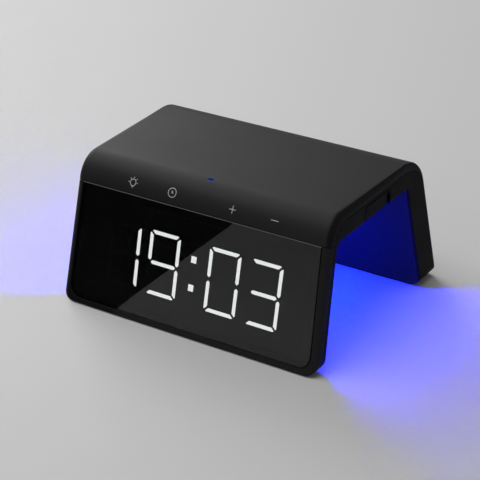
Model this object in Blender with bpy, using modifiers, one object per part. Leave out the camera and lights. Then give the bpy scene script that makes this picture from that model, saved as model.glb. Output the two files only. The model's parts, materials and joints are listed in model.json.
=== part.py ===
"""Bedside clock shaped as a bridge, with a wireless charging deck and a night lamp under it.

The body is an arch that is open from side to side. Its front leg leans back and carries the
display, its flat deck charges a phone, and its rear leg holds the main board and the power inlet.
A small tray for the backup coin cell slides out of the deck's right side.

Axes: +X to the right as the display is read, +Y to the rear, +Z up. The origin is on the
table, in the middle of the four feet. All sizes are in metres.
"""
import math

import bmesh
import bpy
from mathutils import Matrix, Vector

MM = 0.001
TINY = 0.01 * MM                        # merge distance

# Overall body
HEIGHT = 80.3 * MM
DEPTH = 130.4 * MM                      # front foot to rear foot, at the table
WIDTH_TOP = 157.0 * MM                  # across the deck
WIDTH_FOOT = 163.0 * MM                 # across the legs at the table
FRONT_LEAN = math.radians(14.5)
REAR_LEAN = math.radians(12.4)
FRONT_RADIUS = 15.5 * MM                # front leg to deck, outside
REAR_RADIUS = 20.0 * MM                 # deck to rear leg, outside
EDGE_RADIUS = 3.8 * MM                  # long outer edges beside the sides, in front
REAR_EDGE_RADIUS = 1.2 * MM             # and behind
CORNER_RADIUS = 8.0 * MM                # lower corners of both legs
FOOT_STAND = 0.6 * MM                   # the feet hold the body this far off the table

# Thickness of the arch and its walls
FRONT_LEG = 8.3 * MM
DECK = 14.6 * MM
REAR_LEG = 17.6 * MM
ARCH_FRONT_RADIUS = 5.5 * MM
ARCH_REAR_RADIUS = 2.5 * MM
LINING_EDGE = 1.0 * MM                  # rounding where the arch meets the sides
SKIN = 2.0 * MM                         # outer walls
LINING = 1.8 * MM                       # walls that face the arch
SIDE_WALL = 2.6 * MM
FLOOR = 2.6 * MM                        # bottoms of the legs
HOLLOW_EDGE = 1.2 * MM                  # rounding of the hollow's long edges
HOLLOW_CORNER = 8.0 * MM
EDGE_STEPS = 4                          # flats in a quarter turn of the long edges' rounding

# Seams and clearances
GAP = 0.3 * MM                          # between pieces that lie against each other
SEAM = 0.35 * MM                        # the open joint lines that show outside
RIM = 4.8 * MM                          # depth of the cover's and the bezel's side walls
RIM_END = 2.2 * MM                      # depth of the cover's side walls at its rear end
RIM_TAPER = math.radians(20.0)          # they narrow from here on the rear curve, from vertical
COVER_END = math.radians(68.0)          # where the cover stops on the rear curve

# Display
DISPLAY_LOW = 3.9 * MM                  # window's lower edge, along the front slope
DISPLAY_TOP_DOWN = 11.4 * MM            # body's height to the window's upper edge, along the slope
WINDOW_SIDE = 4.65 * MM                 # window's edge to the side of the body
WINDOW_RADIUS = 7.2 * MM
WINDOW_THICK = 2.0 * MM
LEDGE = 3.2 * MM                        # bezel behind the window's border
LEDGE_TOP = 3.5 * MM
DIGIT_WIDTH = 17.4 * MM                 # between the middles of the upright segments
DIGIT_HALF = 16.5 * MM                  # between the middles of the level segments
DIGIT_PITCH = 25.3 * MM
DIGIT_INNER = 18.9 * MM                 # middle of an inner digit, from the middle of the display
DIGIT_DOWN = 1.3 * MM                   # middle of the digits under the middle of the display
SEGMENT = 2.0 * MM                      # width of a segment
SEGMENT_BREAK = 1.4 * MM                # between the tips of two segments
SEGMENT_NOSE = 0.45 * MM                # flat on the outer tip of a mitred end
COLON_RISE = 7.7 * MM                   # dots above and below the middle of the digits
COLON_WIDE = 3.2 * MM
COLON_TALL = 3.8 * MM
MASK_CLEAR = 1.6 * MM                   # mask to the bezel's opening at its narrowest
MASK_LOW = 9.0 * MM
MASK_DOWN = 6.4 * MM                    # window's upper edge to the mask's
MASK_THICK = 1.2 * MM
MASK_SPACE = 0.35 * MM                  # behind the window
DIFFUSER_SPACE = 0.15 * MM              # behind the mask
DIFFUSER_THICK = 0.4 * MM
DIFFUSER_INSET = 0.15 * MM              # segment tops behind the mask's face
SEGMENT_CLEAR = 0.12 * MM               # around each raised segment in the mask
CHIP = 0.45 * MM                        # height of a light chip
CHIP_HALF = 0.8 * MM
CHIP_SPACE = 0.25 * MM                  # chip to the diffuser
BOARD_THIN = 1.0 * MM

# Frames inside the deck and the rear leg, which carry the posts
FRAME_THICK = 1.5 * MM
DECK_FRAME_SIDE = 5.5 * MM              # from the deck's sides
DECK_FRAME_AHEAD = 5.6 * MM             # in front of the ceiling's flat
FRAME_RADIUS = 3.0 * MM
FRAME_SMALLER = 1.0 * MM                # the rear frame goes in through the panel's opening

# Deck
COIL_INNER = 9.5 * MM
COIL_RIM = 1.9 * MM                     # ferrite disc outside the last turn
COIL_STEPS = 20                         # flats in each turn
COIL_PITCH = 1.65 * MM
WIRE = 1.2 * MM
FERRITE_IN = 3.0 * MM                   # disc's edge inside the carrier's
FERRITE_THICK = 0.8 * MM
CARRIER_IN = 0.95 * MM                  # carrier's edges inside the deck's flat
CARRIER_THICK = 1.5 * MM
CARRIER_RADIUS = 5.0 * MM
CARRIER_SCREW_IN = 4.0 * MM             # screws from the carrier's edges

# Night lamp in the arch's ceiling
LAMP_CLEAR = 2.0 * MM                   # lens to the battery's cradle
LAMP_WIDE = 14.0 * MM
LAMP_FLANGE = 2.2 * MM
FLANGE_THICK = 1.2 * MM
LAMP_STEP = 1.6 * MM                    # blocks that hold the lamp's board off the flange
LAMP_STEP_HALF = 2.0 * MM
LAMP_BOARD_IN = 2.0 * MM                # board's ends inside the lens's ends
LAMP_CHIP_IN = 10.0 * MM                # first and last chip inside the board's ends
LAMP_CHIPS = 8
LAMP_CHIP = 2.8 * MM
LAMP_CHIP_HIGH = 0.8 * MM
LAMP_BOARD_WIDE = 10.0 * MM

# Charge light in the cover's front curve
PIPE_AHEAD = 2.6 * MM                   # in front of the deck's flat
PIPE_LONG = 3.6 * MM
PIPE_WIDE = 1.8 * MM
PIPE_DEEP = 8.6 * MM                    # deck height to the pipe's lower end
PIPE_CLEAR = 0.2 * MM
INDICATOR_HALF = 7.0 * MM               # board under the pipe
INDICATOR_WIDE = 8.0 * MM
INDICATOR_CHIP = 2.0 * MM

# Touch film under the front curve
FILM_SIDE = 20.5 * MM                   # from the deck's sides
FILM_THICK = 0.25 * MM
FILM_START = math.radians(20.0)         # from level, on the front curve
FILM_END = math.radians(66.0)

# Coin cell and its tray
CELL_RADIUS = 10.0 * MM
CELL_THICK = 3.2 * MM
CELL_EDGE = 0.3 * MM
TRAY_BEHIND = 1.5 * MM                  # behind the coil's middle
TRAY_TRAVEL = 24.0 * MM
DOOR_WIDE = 26.0 * MM
DOOR_DOWN = 6.5 * MM                    # from the deck's top
DOOR_THICK = 2.8 * MM
DOOR_CHAMFER = 1.8 * MM                 # upper front corner
TRAY_WALL = 1.1 * MM
TRAY_FLOOR = 0.7 * MM
TRAY_BACK = 3.0 * MM                    # tray behind the cell
CRADLE_WALL = 2.2 * MM
CRADLE_ROOF = 1.2 * MM
CONTACT_THICK = 0.3 * MM
CONTACT_WIDE = 3.0 * MM
CONTACT_IN = 1.0 * MM                   # strips start inside the tray's inner end
CONTACT_SPRING = 0.1 * MM               # more room over the lower strip
BUMP_IN = 0.2 * MM                      # raised pad inside the strip's end
NAIL_DEEP = 1.2 * MM                    # finger notch at the door's rear end
NAIL_WIDE = 3.6 * MM
NAIL_FROM_END = 0.9 * MM

# Rear panel and main board, measured along the rear slope
PANEL_BESIDE = 12.5 * MM                # panel's ends past the main board's
PANEL_LOW = 12.0 * MM
PANEL_DOWN = 26.3 * MM                  # body's height to the panel's upper edge, along the slope
PANEL_RADIUS = 4.0 * MM
PANEL_SCREW = 6.0 * MM                  # screws from the panel's edges
PANEL_BOSS = 9.0 * MM
PANEL_BOSS_DEEP = 4.0 * MM              # panel's face to the inner end of its bosses
BOARD_IN = 2.0 * MM                     # board's edges inside the panel's
BOARD_DEEP = 9.0 * MM                   # panel's face to the board's outer side
BOARD_THICK = 1.6 * MM
BOARD_SCREW = 4.0 * MM
BOARD_BESIDE = 3.5 * MM                 # screws beside the ribbon cable
INLET_LONG = 8.94 * MM
INLET_WIDE = 3.16 * MM
INLET_WALL = 0.35 * MM
INLET_ALONG = 20.0 * MM
INLET_RECESS = 0.6 * MM                 # mouth behind the panel's face
INLET_MARGIN = 0.35 * MM
TONGUE_LONG = 6.7 * MM
TONGUE_WIDE = 0.7 * MM
BUZZER_RADIUS = 7.0 * MM
BUZZER_THICK = 3.0 * MM
BUZZER_X = 28.0 * MM
BUZZER_ALONG = 35.0 * MM
SOUND_HOLE = 0.7 * MM
SOUND_RING = 3.2 * MM
SOUND_HOLES = 6
SOCKET_HALF = 6.5 * MM                  # ribbon's socket on the board
SOCKET_WIDE = 3.0 * MM
SOCKET_TALL = 2.4 * MM
SOCKET_DOWN = 9.0 * MM                  # from the board's upper edge

# Blocks on the main board, in mm: across, down from its upper edge, length, width and height
BOARD_BLOCKS = ((-6, 14, 9, 9, 1.4), (-26, 26, 6, 6, 3.0), (-18, 16, 4, 6, 1.6),
                (10, 12, 5, 4, 1.2), (16, 28, 5, 3, 1.8), (-37, 21, 4, 4, 2.2))

# Charger board beside the coil
CHARGER_SIDE = 6.5 * MM                 # from the deck's left side
CHARGER_CLEAR = 3.0 * MM                # from the coil's carrier
CHARGER_BEHIND = 6.6 * MM               # from the cover's front screws
CHARGER_AHEAD = 5.9 * MM                # from the cover's rear screws
CHARGER_THICK = 1.2 * MM
CHARGER_SCREW = 4.0 * MM

# Blocks on the charger board: their places as shares of its length and width, then each one's
# length, width and height in mm
CHARGER_BLOCKS = ((0.26, 0.27, 7, 7, 2.4), (0.58, 0.23, 5, 5, 1.2), (0.63, 0.59, 8, 6, 1.6),
                  (0.26, 0.68, 6, 4, 1.8), (0.53, 0.86, 3, 5, 1.4))

# Ribbon cable from the main board to the display
RIBBON_CLEAR = 4.0 * MM                 # beside the coil's screws
RIBBON_WIDE = 11.0 * MM
RIBBON_THICK = 0.3 * MM
RIBBON_FRONT = 5.1 * MM                 # behind the front face
RIBBON_DECK = 7.2 * MM                  # under the deck's top
RIBBON_REAR = 7.4 * MM
RIBBON_RADIUS = 7.0 * MM
RIBBON_END = 7.0 * MM                   # from the main board's upper edge

# Screws: large ones hold covers, small ones hold boards
HEAD_RADIUS = 2.5 * MM
HEAD_HIGH = 1.7 * MM
SHANK_RADIUS = 1.1 * MM
SMALL_HEAD_RADIUS = 1.9 * MM
SMALL_HEAD_HIGH = 1.3 * MM
SMALL_SHANK_RADIUS = 0.9 * MM
SMALL_LENGTH = 5.5 * MM
COVER_SCREW_SIDE = 12.5 * MM            # from the deck's sides
COVER_SCREW_END = 4.8 * MM              # from the ends of the ceiling's flat
COVER_SCREW_LENGTH = 8.0 * MM
PANEL_SCREW_LENGTH = 9.0 * MM
BOSS_WALL = 2.0 * MM                    # plastic around a screw hole

# Rubber feet
FOOT_LONG = 24.0 * MM
FOOT_SIDE = 29.5 * MM                   # from the body's sides at the table
FOOT_FRONT_WIDE = 5.6 * MM
FOOT_REAR_WIDE = 8.0 * MM
FOOT_SUNK = 0.7 * MM
FOOT_RADIUS = 1.5 * MM

ROUND_SIDES = 24                        # sides of a round piece that shows
SMALL_SIDES = 12
SCREW_SIDES = 16
ARC = 8                                 # flats in a quarter turn of an outline
PAST = 5.0 * MM                         # how far a cutter runs past what it cuts

CEILING = HEIGHT - DECK                 # underside of the deck
CEILING_TOP = CEILING + LINING
HOLLOW_TOP = HEIGHT - SKIN
BEZEL_BACK = RIM
DISPLAY_TOP = HEIGHT - DISPLAY_TOP_DOWN
MASK_HIGH = DISPLAY_TOP - MASK_DOWN
DIGIT_MIDDLE = (DISPLAY_LOW + DISPLAY_TOP) / 2 - DIGIT_DOWN
DOOR_TOP = HEIGHT - DOOR_DOWN
PANEL_HIGH = HEIGHT - PANEL_DOWN
BOARD_LOW = PANEL_LOW + BOARD_IN
BOARD_HIGH = PANEL_HIGH - BOARD_IN
COIL_Z = HOLLOW_TOP - GAP - WIRE / 2
FERRITE_Z = COIL_Z - WIRE / 2 - GAP - FERRITE_THICK
CARRIER_Z = FERRITE_Z - GAP - CARRIER_THICK
MASK_DEEP = WINDOW_THICK + MASK_SPACE
DIFFUSER_DEEP = MASK_DEEP + MASK_THICK + DIFFUSER_SPACE
DISPLAY_BOARD_DEEP = DIFFUSER_DEEP + DIFFUSER_THICK + CHIP_SPACE + CHIP
DECK_FRAME_HALF = WIDTH_TOP / 2 - DECK_FRAME_SIDE
FILM_HALF = WIDTH_TOP / 2 - FILM_SIDE
COVER_SCREW_X = WIDTH_TOP / 2 - COVER_SCREW_SIDE
FOOT_X = WIDTH_FOOT / 2 - FOOT_SIDE
CHARGER_LEFT = CHARGER_SIDE - WIDTH_TOP / 2

part = bpy.data.collections.new("charging_station_clock")
cutters = bpy.data.collections.new("cutters")


def start():
    """Clears the scene's objects and links the two collections."""
    for item in list(bpy.data.objects):
        bpy.data.objects.remove(item, do_unlink=True)
    bpy.context.scene.collection.children.link(part)
    bpy.context.scene.collection.children.link(cutters)


def material(name, colour, roughness, metallic=0.0, alpha=1.0):
    """A plain Principled material."""
    made = bpy.data.materials.new(name)
    made.use_nodes = True
    shader = made.node_tree.nodes["Principled BSDF"]
    shader.inputs["Base Color"].default_value = (*colour, 1.0)
    shader.inputs["Roughness"].default_value = roughness
    shader.inputs["Metallic"].default_value = metallic
    shader.inputs["Alpha"].default_value = alpha
    return made


def add(name, mesh, look=None, place=None):
    """Adds an object: a piece of the clock where it has a material, and a cutter otherwise."""
    item = bpy.data.objects.new(name, mesh)
    if place is not None:
        item.matrix_world = place
    if look is None:
        cutters.objects.link(item)
        item.hide_render = True
        item.display_type = "WIRE"
    else:
        part.objects.link(item)
        if not mesh.materials:
            mesh.materials.append(look)
    return item


def boolean(item, other, operation):
    """Cuts, joins or keeps the common part with an exact Boolean modifier."""
    step = item.modifiers.new(f"{operation.lower()}_{other.name}", "BOOLEAN")
    step.operation = operation
    step.solver = "EXACT"
    step.object = other


def half_width(height):
    """Half of the body's width at a height: the sides lean in a little towards the deck."""
    lean = (WIDTH_FOOT - WIDTH_TOP) / 2 * (1 - height / HEIGHT)
    return WIDTH_TOP / 2 + lean


def slope_place(rear=False):
    """Frame on the front or rear face: x across, y up the slope, z out of the face."""
    lean = REAR_LEAN if rear else FRONT_LEAN
    side = -1 if rear else 1
    across = Vector((side, 0, 0))
    up = Vector((0, side * math.sin(lean), math.cos(lean)))
    out = Vector((0, -side * math.cos(lean), math.sin(lean)))
    place = Matrix((across, up, out)).transposed().to_4x4()
    place.translation = Vector((0, -side * DEPTH / 2, 0))
    return place


FRONT = slope_place()
REAR = slope_place(rear=True)


def front_y(height, inset=0.0):
    return -DEPTH / 2 + inset / math.cos(FRONT_LEAN) + height * math.tan(FRONT_LEAN)


def rear_y(height, inset=0.0):
    return DEPTH / 2 - inset / math.cos(REAR_LEAN) - height * math.tan(REAR_LEAN)


def flat_front(inset, down, radius):
    """y where a flat, down below the deck's top, meets its front curve."""
    return front_y(HEIGHT - down - radius, inset) + radius / math.cos(FRONT_LEAN)


def flat_rear(inset, down, radius):
    """y where a flat, down below the deck's top, meets its rear curve."""
    return rear_y(HEIGHT - down - radius, inset) - radius / math.cos(REAR_LEAN)


DECK_FRONT = flat_front(0.0, 0.0, FRONT_RADIUS)
DECK_REAR = flat_rear(0.0, 0.0, REAR_RADIUS)
CEILING_FRONT = flat_front(FRONT_LEG, DECK, ARCH_FRONT_RADIUS)
CEILING_REAR = flat_rear(REAR_LEG, DECK, ARCH_REAR_RADIUS)
COIL_Y = (DECK_FRONT + DECK_REAR) / 2
LAMP_Y = (CEILING_FRONT + CEILING_REAR) / 2
PIPE_Y = DECK_FRONT - PIPE_AHEAD
TRAY_Y = COIL_Y + TRAY_BEHIND
COVER_SCREW_FRONT = CEILING_FRONT + COVER_SCREW_END
COVER_SCREW_REAR = CEILING_REAR - COVER_SCREW_END
CARRIER_HALF = (DECK_REAR - DECK_FRONT) / 2 - CARRIER_IN
CARRIER_SCREW = CARRIER_HALF - CARRIER_SCREW_IN
FERRITE_RADIUS = CARRIER_HALF - FERRITE_IN
COIL_TURNS = int((FERRITE_RADIUS - COIL_RIM - COIL_INNER) / COIL_PITCH)
CHARGER_RIGHT = -CARRIER_HALF - CHARGER_CLEAR
CHARGER_FRONT = COVER_SCREW_FRONT + CHARGER_BEHIND
CHARGER_REAR = COVER_SCREW_REAR - CHARGER_AHEAD
RIBBON_LEFT = CARRIER_SCREW + RIBBON_CLEAR
BOARD_HALF = RIBBON_LEFT + RIBBON_WIDE + BOARD_BESIDE + BOARD_SCREW
PANEL_HALF = BOARD_HALF + PANEL_BESIDE
MASK_HALF = (min(half_width(DISPLAY_LOW), half_width(DISPLAY_TOP)) - WINDOW_SIDE - LEDGE
             - MASK_CLEAR)


def arch_path(insets, radii, base):
    """Side outline (y, z) of an arch, from the front foot over the deck to the rear foot.

    insets are the distances inwards from the body's front face, deck and rear face, and
    radii those of the front and rear curves. base is the height of both ends.
    """
    front_in, deck_in, rear_in = insets
    top = HEIGHT - deck_in
    points = [(front_y(base, front_in), base)]
    radius = radii[0]
    centre = flat_front(front_in, deck_in, radius)
    first = math.pi - FRONT_LEAN
    for step in range(ARC + 1):
        turn = first + (math.pi / 2 - first) * step / ARC
        points.append((centre + radius * math.cos(turn), top - radius + radius * math.sin(turn)))
    radius = radii[1]
    centre = flat_rear(rear_in, deck_in, radius)
    for step in range(ARC + 1):
        turn = math.pi / 2 + (REAR_LEAN - math.pi / 2) * step / ARC
        points.append((centre + radius * math.cos(turn), top - radius + radius * math.sin(turn)))
    points.append((rear_y(base, rear_in), base))
    return points


def outer_path(inset, base=0.0):
    """The body's outer side outline, moved inwards."""
    radii = (FRONT_RADIUS - inset, REAR_RADIUS - inset)
    return arch_path((inset, inset, inset), radii, base)


def lining_path(thinner, base=0.0):
    """The arch's own outline, moved into the body by a distance."""
    insets = (FRONT_LEG - thinner, DECK - thinner, REAR_LEG - thinner)
    radii = (ARCH_FRONT_RADIUS + thinner, ARCH_REAR_RADIUS + thinner)
    return arch_path(insets, radii, base)


def drawn_in(radius, depth):
    """How far a rounded edge draws in at a depth under the side face."""
    near = max(radius - depth, 0.0)
    return radius - math.sqrt(radius ** 2 - near ** 2)


def arch_block(inset, lining, side, floor, edge, rear_edge, corner, lining_edge):
    """Mesh of the whole arch, made smaller by the given wall thicknesses.

    It is a loft: each section lies a little nearer to a side face, where the outline draws in
    by the edge's rounding and the lower corners rise on their radius. The rounding changes from
    edge to rear_edge along the flat deck.
    """
    turns = [math.pi / 2 * step / EDGE_STEPS for step in range(EDGE_STEPS + 1)]
    depths = [edge * (1 - math.cos(turn)) for turn in turns]
    depths += [edge + (corner - edge) * share for share in (0.25, 0.55, 1.0)]
    sections = []
    for side_sign, order in ((-1, depths), (1, depths[::-1])):
        for depth in order:
            base = floor + corner - math.sqrt(corner ** 2 - (corner - depth) ** 2)
            front = outer_path(inset + drawn_in(edge, depth), base)
            rear = outer_path(inset + drawn_in(rear_edge, depth), base)
            opened = drawn_in(lining_edge, depth)
            outline = front[:len(front) // 2] + rear[len(rear) // 2:]
            outline += lining_path(lining + opened, base)[::-1]
            section = []
            for y, z in outline:
                section.append((side_sign * (half_width(z) - side - depth), y, z))
            sections.append(section)
    shape = bmesh.new()
    rings = [[shape.verts.new(point) for point in section] for section in sections]
    for ring, following in zip(rings, rings[1:]):
        for index in range(len(ring)):
            after = (index + 1) % len(ring)
            shape.faces.new((ring[index], ring[after], following[after], following[index]))
    shape.faces.new(rings[0])
    shape.faces.new(rings[-1])
    bmesh.ops.recalc_face_normals(shape, faces=shape.faces)
    mesh = bpy.data.meshes.new("arch_block")
    shape.to_mesh(mesh)
    shape.free()
    return mesh


def slab_mesh(outline, low, high):
    """Mesh of a flat outline (x, y), given a thickness from low to high along z."""
    curve = bpy.data.curves.new("outline", "CURVE")
    curve.dimensions = "2D"
    curve.fill_mode = "BOTH"
    curve.extrude = (high - low) / 2
    spline = curve.splines.new("POLY")
    spline.points.add(len(outline) - 1)
    for point, (x, y) in zip(spline.points, outline):
        point.co = (x, y, 0, 1)
    spline.use_cyclic_u = True
    return curve_mesh(curve, Matrix.Translation((0, 0, (low + high) / 2)))


def curve_mesh(curve, place=None):
    """Mesh of a curve, with its loose caps welded and its faces pointing out."""
    item = bpy.data.objects.new("curve", curve)
    bpy.context.scene.collection.objects.link(item)
    view = bpy.context.evaluated_depsgraph_get()
    mesh = bpy.data.meshes.new_from_object(item.evaluated_get(view))
    bpy.data.objects.remove(item, do_unlink=True)
    shape = bmesh.new()
    shape.from_mesh(mesh)
    bmesh.ops.remove_doubles(shape, verts=shape.verts, dist=TINY)
    if place is not None:
        shape.transform(place)
    bmesh.ops.recalc_face_normals(shape, faces=shape.faces)
    shape.to_mesh(mesh)
    shape.free()
    mesh.materials.clear()
    return mesh


SIDE_VIEW = Matrix(((0, 0, 1, 0), (1, 0, 0, 0), (0, 1, 0, 0), (0, 0, 0, 1)))


def side_slab(name, outline, low, high, look=None):
    """A side outline (y, z) given a width from low to high along x."""
    return add(name, slab_mesh(outline, low, high), look, SIDE_VIEW.copy())


def box_mesh(low, high):
    """Mesh of a box between two corners."""
    shape = bmesh.new()
    bmesh.ops.create_cube(shape, size=1.0)
    low, high = Vector(low), Vector(high)
    size = high - low
    shape.transform(Matrix.Translation((low + high) / 2) @ Matrix.Diagonal((*size, 1.0)))
    mesh = bpy.data.meshes.new("box")
    shape.to_mesh(mesh)
    shape.free()
    return mesh


def box(name, low, high, look=None, place=None):
    return add(name, box_mesh(low, high), look, place)


def cylinder_mesh(radius, low, high, sides=SMALL_SIDES):
    """Mesh of a cylinder along z."""
    shape = bmesh.new()
    bmesh.ops.create_cone(shape, cap_ends=True, segments=sides, radius1=radius, radius2=radius,
                          depth=high - low)
    shape.transform(Matrix.Translation((0, 0, (low + high) / 2)))
    mesh = bpy.data.meshes.new("cylinder")
    shape.to_mesh(mesh)
    shape.free()
    return mesh


def gather(name, meshes, place=None):
    """One object out of several meshes that don't touch, for use in a Boolean."""
    shape = bmesh.new()
    for mesh, spot in meshes:
        piece = mesh.copy()
        piece.transform(Matrix.Translation(spot))
        shape.from_mesh(piece)
        bpy.data.meshes.remove(piece)
    mesh = bpy.data.meshes.new(name)
    shape.to_mesh(mesh)
    shape.free()
    return add(name, mesh, None, place)


def round_rect(left, right, low, high, radius):
    """Outline of a rectangle whose corners are round: radius is for (lower, upper) corners."""
    lower, upper = radius
    corners = ((right - lower, low + lower, lower, -1), (right - upper, high - upper, upper, 0),
               (left + upper, high - upper, upper, 1), (left + lower, low + lower, lower, 2))
    points = []
    for x, y, size, start in corners:
        if size <= 0:
            points.append((x, y))
            continue
        for step in range(ARC + 1):
            turn = (start + step / ARC) * math.pi / 2
            points.append((x + size * math.cos(turn), y + size * math.sin(turn)))
    return points


def stadium(x, y, long, wide):
    """Outline of a slot with round ends, long along x."""
    points = []
    reach = (long - wide) / 2
    for side in (1, -1):
        for step in range(ARC + 1):
            turn = (step / ARC - side / 2) * math.pi
            points.append((x + side * reach + wide / 2 * math.cos(turn),
                           y + wide / 2 * math.sin(turn)))
    return points


def turned_mesh(profile, steps=SMALL_SIDES):
    """Mesh turned about z from an (radius, z) profile that runs down its outer side."""
    mesh = bpy.data.meshes.new("turned")
    points = [(radius, 0, height) for radius, height in profile]
    mesh.from_pydata(points, [(i, i + 1) for i in range(len(points) - 1)], [])
    item = bpy.data.objects.new("turned", mesh)
    bpy.context.scene.collection.objects.link(item)
    turn = item.modifiers.new("turn", "SCREW")
    turn.steps = steps
    turn.render_steps = steps
    turn.use_merge_vertices = True
    turn.merge_threshold = TINY
    view = bpy.context.evaluated_depsgraph_get()
    result = bpy.data.meshes.new_from_object(item.evaluated_get(view))
    bpy.data.objects.remove(item, do_unlink=True)
    return result


def screw_mesh(head_radius, head_high, shank_radius, length):
    """Pan-head screw: its seat is at z = 0, the head above it and the shank below.

    The cross recess is cut with two crossed bars.
    """
    tip = shank_radius
    profile = [(0, head_high), (head_radius * 0.7, head_high), (head_radius, head_high * 0.55),
               (head_radius, 0), (shank_radius, 0), (shank_radius, tip - length), (0, -length)]
    item = add("screw", turned_mesh(profile, SCREW_SIDES))
    reach, half = head_radius * 0.55, head_radius * 0.12
    low, high = head_high * 0.35, head_high + PAST
    bar = box("recess_bar", (-reach, -half, low), (reach, half, high))
    cross = box("recess", (-half, -reach, low), (half, reach, high))
    boolean(cross, bar, "UNION")
    boolean(item, cross, "DIFFERENCE")
    view = bpy.context.evaluated_depsgraph_get()
    mesh = bpy.data.meshes.new_from_object(item.evaluated_get(view))
    for spare in (item, cross, bar):
        bpy.data.objects.remove(spare, do_unlink=True)
    return mesh


def make_body_cutters():
    """The arch's outer shape, which trims the covers, and its hollow."""
    body = arch_block(0.0, 0.0, 0.0, FOOT_STAND, EDGE_RADIUS, REAR_EDGE_RADIUS, CORNER_RADIUS,
                      LINING_EDGE)
    hollow = arch_block(SKIN, LINING, SIDE_WALL, FOOT_STAND + FLOOR, HOLLOW_EDGE, HOLLOW_EDGE,
                        HOLLOW_CORNER, HOLLOW_EDGE)
    return add("body_shape", body), add("body_hollow", hollow)


def front_point(along, deep):
    """Side point (y, z) at a distance up the front slope and behind its face."""
    spot = FRONT @ Vector((0, along, -deep))
    return spot.y, spot.z


def cover_points(inset, end_inset):
    """Outline from the display's top edge to the cover's end on the rear curve.

    inset is its distance inwards from the body. On the rear curve it changes to end_inset.
    """
    centre_z = HEIGHT - REAR_RADIUS
    rear = []
    for step in range(ARC + 1):
        turn = COVER_END * step / ARC
        share = max(turn - RIM_TAPER, 0.0) / (COVER_END - RIM_TAPER)
        radius = REAR_RADIUS - inset - (end_inset - inset) * share
        rear.append((DECK_REAR + radius * math.sin(turn), centre_z + radius * math.cos(turn)))
    return [front_point(DISPLAY_TOP, inset)] + outer_path(inset)[1:ARC + 2] + rear


def make_top_cover(body, hollow, look):
    """Soft-touch cover: a 2 mm skin with side walls, from the display over the deck."""
    outline = cover_points(-PAST, -PAST) + cover_points(RIM, RIM_END)[::-1]
    cover = side_slab("top_cover", outline, -WIDTH_FOOT, WIDTH_FOOT, look)
    boolean(cover, body, "INTERSECT")
    boolean(cover, hollow, "DIFFERENCE")
    low = CEILING_TOP + 2 * BOSS_WALL + GAP
    post = cylinder_mesh(SHANK_RADIUS + BOSS_WALL, low, HOLLOW_TOP + SKIN / 2)
    boolean(cover, gather("cover_posts", [(post, spot) for spot in cover_screw_spots()]), "UNION")
    hole = cylinder_mesh(SHANK_RADIUS + GAP, low - PAST, CEILING_TOP + COVER_SCREW_LENGTH + GAP)
    boolean(cover, gather("cover_holes", [(hole, spot) for spot in cover_screw_spots()]),
            "DIFFERENCE")
    slot = stadium(0, PIPE_Y, PIPE_LONG + 2 * PIPE_CLEAR, PIPE_WIDE + 2 * PIPE_CLEAR)
    boolean(cover, add("pipe_slot", slab_mesh(slot, HEIGHT - DECK, HEIGHT + PAST)), "DIFFERENCE")


def cover_screw_spots():
    spots = []
    for y in (COVER_SCREW_FRONT, COVER_SCREW_REAR):
        for x in (-COVER_SCREW_X, COVER_SCREW_X):
            spots.append((x, y, 0))
    return spots


def window_outline(grow):
    """The window's edge on the front face, grown by a distance, with its lower corners round."""
    high = DISPLAY_TOP - SEAM + grow
    points = []
    for side in (1, -1):
        centre_y = DISPLAY_LOW + WINDOW_RADIUS
        edge = half_width(centre_y * math.cos(FRONT_LEAN)) - WINDOW_SIDE
        radius = WINDOW_RADIUS + grow
        corner = []
        for step in range(ARC + 1):
            turn = (step / ARC - 1) * math.pi / 2
            corner.append((side * (edge - WINDOW_RADIUS + radius * math.cos(turn)),
                           centre_y + radius * math.sin(turn)))
        top_edge = half_width(high * math.cos(FRONT_LEAN)) - WINDOW_SIDE + grow
        upright = corner + [(side * top_edge, high)]
        points += upright if side == 1 else upright[::-1]
    return points


def make_window(look):
    """Smoked window, flush with the front face."""
    return add("display_window", slab_mesh(window_outline(0.0), -WINDOW_THICK, 0.0), look,
               FRONT.copy())


def make_bezel(body, pockets, look):
    """Frame around the window: a ledge behind its border and a wall on three sides."""
    top = DISPLAY_TOP - SEAM
    outline = [front_point(-PAST, -PAST), front_point(top, -PAST), front_point(top, BEZEL_BACK),
               front_point(-PAST, BEZEL_BACK)]
    bezel = side_slab("front_bezel", outline, -WIDTH_FOOT, WIDTH_FOOT, look)
    boolean(bezel, body, "INTERSECT")
    pocket = slab_mesh(window_outline(GAP), -WINDOW_THICK - GAP / 2, PAST)
    boolean(bezel, add("window_pocket", pocket, None, FRONT.copy()), "DIFFERENCE")
    open_low = DISPLAY_LOW + LEDGE
    open_half = half_width(open_low) - WINDOW_SIDE - LEDGE
    open_top_half = half_width(top) - WINDOW_SIDE - LEDGE
    open_top = top - LEDGE_TOP
    opening = [(-open_half, open_low), (open_half, open_low), (open_top_half, open_top),
               (-open_top_half, open_top)]
    through = slab_mesh(opening, -BEZEL_BACK - PAST, PAST)
    boolean(bezel, add("bezel_opening", through, None, FRONT.copy()), "DIFFERENCE")
    boolean(bezel, pockets, "DIFFERENCE")


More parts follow.
